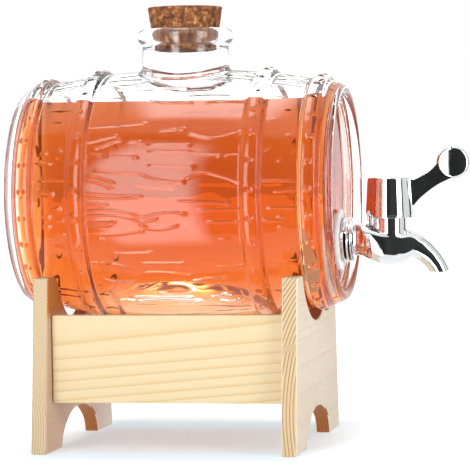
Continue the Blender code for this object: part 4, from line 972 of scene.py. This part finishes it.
def build_pieces():
    """Every made piece, and the finish of the CAD nodes that stay."""
    glass = glass_material()
    chrome = chrome_material()
    silicone = plain_material("milky_silicone", linear(250, 250, 250), 0.22, Coat_Weight=0.6)
    steel = plain_material("turned_steel", (0.56, 0.57, 0.58), 0.28, 1.0)
    # Painted light: the lock nut and the inner washer glow faintly, standing in for light that does not
    # reach them through the glass and drink.
    painted_glow = {"Emission_Color": (1.0, 1.0, 1.0, 1.0), "Emission_Strength": 0.16}
    nylon = plain_material("white_nylon", linear(238, 238, 232), 0.4, **painted_glow)
    wet_silicone = plain_material("wet_silicone", linear(240, 240, 240), 0.3, **painted_glow)
    rubber = plain_material("black_rubber", (0.02, 0.02, 0.02), 0.55)
    beech = plain_material("beech_dowel", linear(214, 170, 118), 0.6)
    pale, dark = linear(222, 202, 163), linear(204, 169, 112)
    front = pine_material("pine_front_rail", "X", [(-0.019, 0.0655)], 0.0031, pale, dark, slope=0.08)
    back = pine_material("pine_back_rail", "X", [(0.020, 0.012)], 0.0034, pale, dark, slope=-0.05)
    rings = linear(124, 76, 30)
    # The darker colour of both boards' curved undersides is partly painted shade.
    right = pine_material("pine_right_board", "Y", [(0.0896, 0.029), (0.150, 0.018)], 0.00150,
                          linear(216, 190, 149), rings, split=0.0462, contrast=1.9,
                          face=linear(234, 219, 197), sawn_and_shade=linear(166, 98, 40))
    # The left board's broad faces grow lighter towards the back, painted light.
    left = pine_material("pine_left_board", "Y", [(-0.142, 0.010), (-0.142, 0.010)], 0.00115,
                         # Its inner face above the rail takes painted shade tinted by light through the
                         # drink.
                         linear(208, 187, 151), linear(144, 100, 54), split=0.0, contrast=1.5,
                         face=linear(199, 166, 138), sawn_and_shade=linear(172, 102, 42), shade_and_drink_light=linear(196, 118, 52),
                         painted_light_back=linear(252, 236, 224))

    piece(glass_barrel(), glass, "barrel", "barrel_glass", "glass_barrel")
    drink = cavity("drink", DRINK_OVERLAP, LEVEL_Z)
    dress(drink, drink_material())
    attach(drink, "barrel")
    piece(cork(), cork_material(), "stopper", "stopper_cork", "cork_stopper")
    piece(tap_body(), chrome, "barrel", "tap_chrome", "tap_body")
    piece(tap_handle(), chrome, "handle", "tap_chrome", "tap_handle")
    button = [(0.3, 118.15), (2.2, 118.15), (2.55, 118.0), (2.6, 117.7), (2.6, 117.3), (0.3, 117.3)]
    piece(lathe("handle_cover", button, 48, VALVE_X), chrome, "handle", "tap_chrome", "handle_button")
    collar = [(6.3, 76.1), (8.6, 76.1), (8.6, 75.7), (9.7, 75.7), (9.9, 75.55), (9.9, 75.25), (9.7, 75.1),
              (8.6, 75.1), (8.6, 74.5), (9.7, 74.5), (10.1, 74.3), (10.1, 73.6), (9.7, 73.4), (8.6, 73.4),
              (8.6, 72.3), (9.9, 72.3), (10.1, 72.1), (10.1, 71.4), (9.9, 71.2), (6.3, 71.2)]
    collar = lathe("collar_ring", collar, 128, along_x=True, cyclic=True)
    piece(collar, ringed_chrome_material(), "barrel", "tap_chrome", "tap_collar")
    for name, node, start, finish in (("outer_seal", "outer_washer", 68.9, silicone),
                                      ("inner_seal", "inner_washer", 61.5, wet_silicone)):
        rim = SEAL_RIMS[node]
        half = [(SEAL_INNER_R, 1.0), (rim - 0.55, 1.0), (rim - 0.15, 0.85), (rim, 0.5)]
        seal = [(r, start + 1.0 + x) for r, x in half] + [(r, start + 1.0 - x) for r, x in reversed(half)]
        seal = lathe(name, seal, 96, along_x=True, cyclic=True)
        piece(seal, finish, "barrel", "seal_silicone", node)
    coil, low, high = spring_coil()
    piece(coil, steel, "barrel", "valve_steel", "valve_spring")
    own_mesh(coil)

    finishes = {
        "rail_front": front, "rail_back": back, "end_board_right": right, "end_board_left": left,
        "lock_nut": nylon, "valve_bonnet": steel, "valve_stem": steel,
        "handle_screw": steel, "valve_plug": silicone, "stem_o_ring": rubber,
    }
    for name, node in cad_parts.items():
        if name.startswith("dowel_"):
            dress(node, beech)
        elif name in finishes:
            dress(node, finishes[name])


SOFT_EDGE = 0.22


def softbox(name, width, height, radiance):
    """A rectangular lamp whose light fades out over SOFT_EDGE of its width and height at each edge."""
    data = bpy.data.lights.new(name, "AREA")
    data.shape = "RECTANGLE"
    data.size, data.size_y = width, height
    data.energy = radiance * math.pi * width * height
    data.use_nodes = True
    tree = Nodes(data.node_tree)
    place = tree.parts(tree.node("ShaderNodeNewGeometry").outputs["Parametric"])
    stops = ((0.0, 0.0), (SOFT_EDGE, 1.0), (1.0 - SOFT_EDGE, 1.0), (1.0, 0.0))
    both = tree.times(*(tree.ramp(place[axis], stops, "EASE") for axis in "XY"))
    tree.feed(data.node_tree.nodes["Emission"], "Strength", both)
    return add(name, data)


def area_light(name, azimuth, distance, width, low, high, radiance):
    """A softbox that faces the barrel from an azimuth, 0 being the front and positive towards the tap."""
    item = softbox(name, width, high - low, radiance)
    turn = math.radians(azimuth)
    middle = (low + high) / 2
    item.location = (SHIFT * MM + distance * math.sin(turn), -distance * math.cos(turn), middle)
    aim = Vector((SHIFT * MM, 0.0, middle)) - item.location
    item.rotation_euler = aim.to_track_quat("-Z", "Y").to_euler()


def set_lights():
    """Three soft lamps."""
    area_light("left_softbox", -16.0, 1.1, 0.50, -1.1, 1.48, 5.3)
    area_light("right_softbox", 56.0, 1.1, 0.46, -0.45, 1.35, 4.6)
    softbox("top_softbox", 0.55, 0.88, 5.0).location = (-0.16, 0.0, 1.3)


# What a reflection shows of the studio: azimuth, 0 being the front, and the wall's brightness there
WALLS = ((-180.0, 1.0), (-104.0, 1.0), (-100.0, 0.75), (-62.0, 0.75), (-58.0, 0.03), (-5.0, 0.02),
         (20.0, 0.045), (41.0, 0.03), (43.0, 1.0), (66.0, 1.0), (68.0, 0.05), (73.0, 0.05), (75.0, 0.74),
         (112.0, 0.80), (114.0, 0.05), (126.0, 0.05), (128.0, 1.0), (180.0, 1.0))
# What is seen through glass: 0 behind the photographer, 1 behind the object
BACKDROP = ((0.0, 0.50), (0.50, 0.58), (0.75, 0.77), (0.90, 0.88), (0.98, 0.93))
BACKDROP_WAY = (-0.192, 0.981, 0.0)
FILL = 0.32


def set_world():
    """White to the camera, walls in reflections, a backdrop through glass, and a weak fill for the rest."""
    world = bpy.data.worlds.new("studio")
    bpy.context.scene.world = world
    world.use_nodes = True
    tree = Nodes(world.node_tree)
    way = tree.node("ShaderNodeTexCoord").outputs["Generated"]
    parts = tree.parts(way)
    around = tree.math("MULTIPLY_ADD", tree.math("ARCTAN2", parts["X"], tree.times(parts["Y"], -1.0)),
                       1.0 / math.tau, 0.5)
    walls = tree.ramp(around, [((azimuth + 180.0) / 360.0, value) for azimuth, value in WALLS])
    ground = tree.span(parts["Z"], -0.62, -0.58, 0.92, 0.0)
    ceiling = tree.span(parts["Z"], 0.80, 0.86, 0.0, 0.9)
    shown = tree.math("MAXIMUM", tree.math("MAXIMUM", walls, ceiling), ground)
    ahead = tree.node("ShaderNodeVectorMath", {0: way, 1: BACKDROP_WAY},
                      operation="DOT_PRODUCT").outputs["Value"]
    through = tree.ramp(tree.math("MULTIPLY_ADD", ahead, 0.5, 0.5), BACKDROP)
    path = tree.node("ShaderNodeLightPath").outputs
    camera, glossy, transmission = (path[f"Is {kind} Ray"] for kind in ("Camera", "Glossy", "Transmission"))
    strength = tree.math("MULTIPLY_ADD", transmission, through, camera)
    strength = tree.math("MULTIPLY_ADD", glossy, shown, strength)
    seen = tree.math("ADD", tree.math("ADD", camera, glossy), transmission)
    rest = tree.minus(1.0, tree.math("MINIMUM", seen, 1.0))
    back = world.node_tree.nodes["Background"]
    tree.feed(back, "Strength", tree.math("MULTIPLY_ADD", rest, FILL, strength))
    tree.feed(back, "Color", (1.0, 1.0, 1.0, 1.0))


def set_floor():
    """A pale floor that keeps the object's shadow and is white away from the stand."""
    bpy.ops.mesh.primitive_plane_add(size=30.0, location=(0.0, 0.0, -0.0002))
    floor = bpy.context.active_object
    floor.name = "floor"
    tree = Tree("pale_floor")
    cloud = tree.noise(1.5, 2.0, 0.5)
    tree.set(Roughness=1.0, Specular_IOR_Level=0.0)
    parts = tree.parts()

    def outside(axis, middle, half_size):
        return tree.math("MAXIMUM", tree.minus(tree.math("ABSOLUTE", tree.minus(parts[axis], middle)),
                                               half_size), 0.0)

    beside = tree.length(outside("X", SHIFT * MM, 0.050), outside("Y", 0.0, 0.070))
    away = tree.length(parts["X"], parts["Y"])
    path = tree.node("ShaderNodeLightPath").outputs
    bounced = tree.math("MAXIMUM", tree.times(path["Is Transmission Ray"], 1.05),
                        tree.times(path["Is Diffuse Ray"], 1.3))
    bounced = tree.times(bounced, tree.span(away, 0.15, 0.38, 0.46, 1.0))
    direct = tree.times(path["Is Camera Ray"], tree.span(beside, 0.0, 0.07, 0.44, 1.0))
    near = tree.mix(cloud, (0.510, 0.605, 0.690), (0.530, 0.625, 0.710))
    far = tree.mix(cloud, (0.596, 0.614, 0.630), (0.616, 0.634, 0.650))
    clear = tree.span(beside, 0.0, 0.025)
    tree.set(Base_Color=tree.mix(clear, near, far),
             Emission_Color=tree.mix(clear, (0.93, 0.98, 1.0), (1.0, 1.0, 1.0)),
             Emission_Strength=tree.math("MAXIMUM", direct, bounced))
    dress(floor, tree.material)
    floor.visible_glossy = False


def set_camera():
    """The photograph's viewpoint."""
    right, top, look = camera_axes()
    data = bpy.data.cameras.new("camera")
    data.sensor_width = 36.0
    data.lens = FOCAL_PIXELS / FRAME_PIXELS * data.sensor_width
    data.clip_start = 0.05
    data.clip_end = 60.0
    camera = add("camera", data)
    turn = Matrix((right, top, -look)).transposed().to_4x4()
    camera.matrix_world = Matrix.Translation(CAMERA_PLACE) @ turn
    bpy.context.scene.camera = camera


build_pieces()
set_lights()
set_world()
set_floor()
set_camera()
bpy.context.scene.view_settings.view_transform = "Standard"
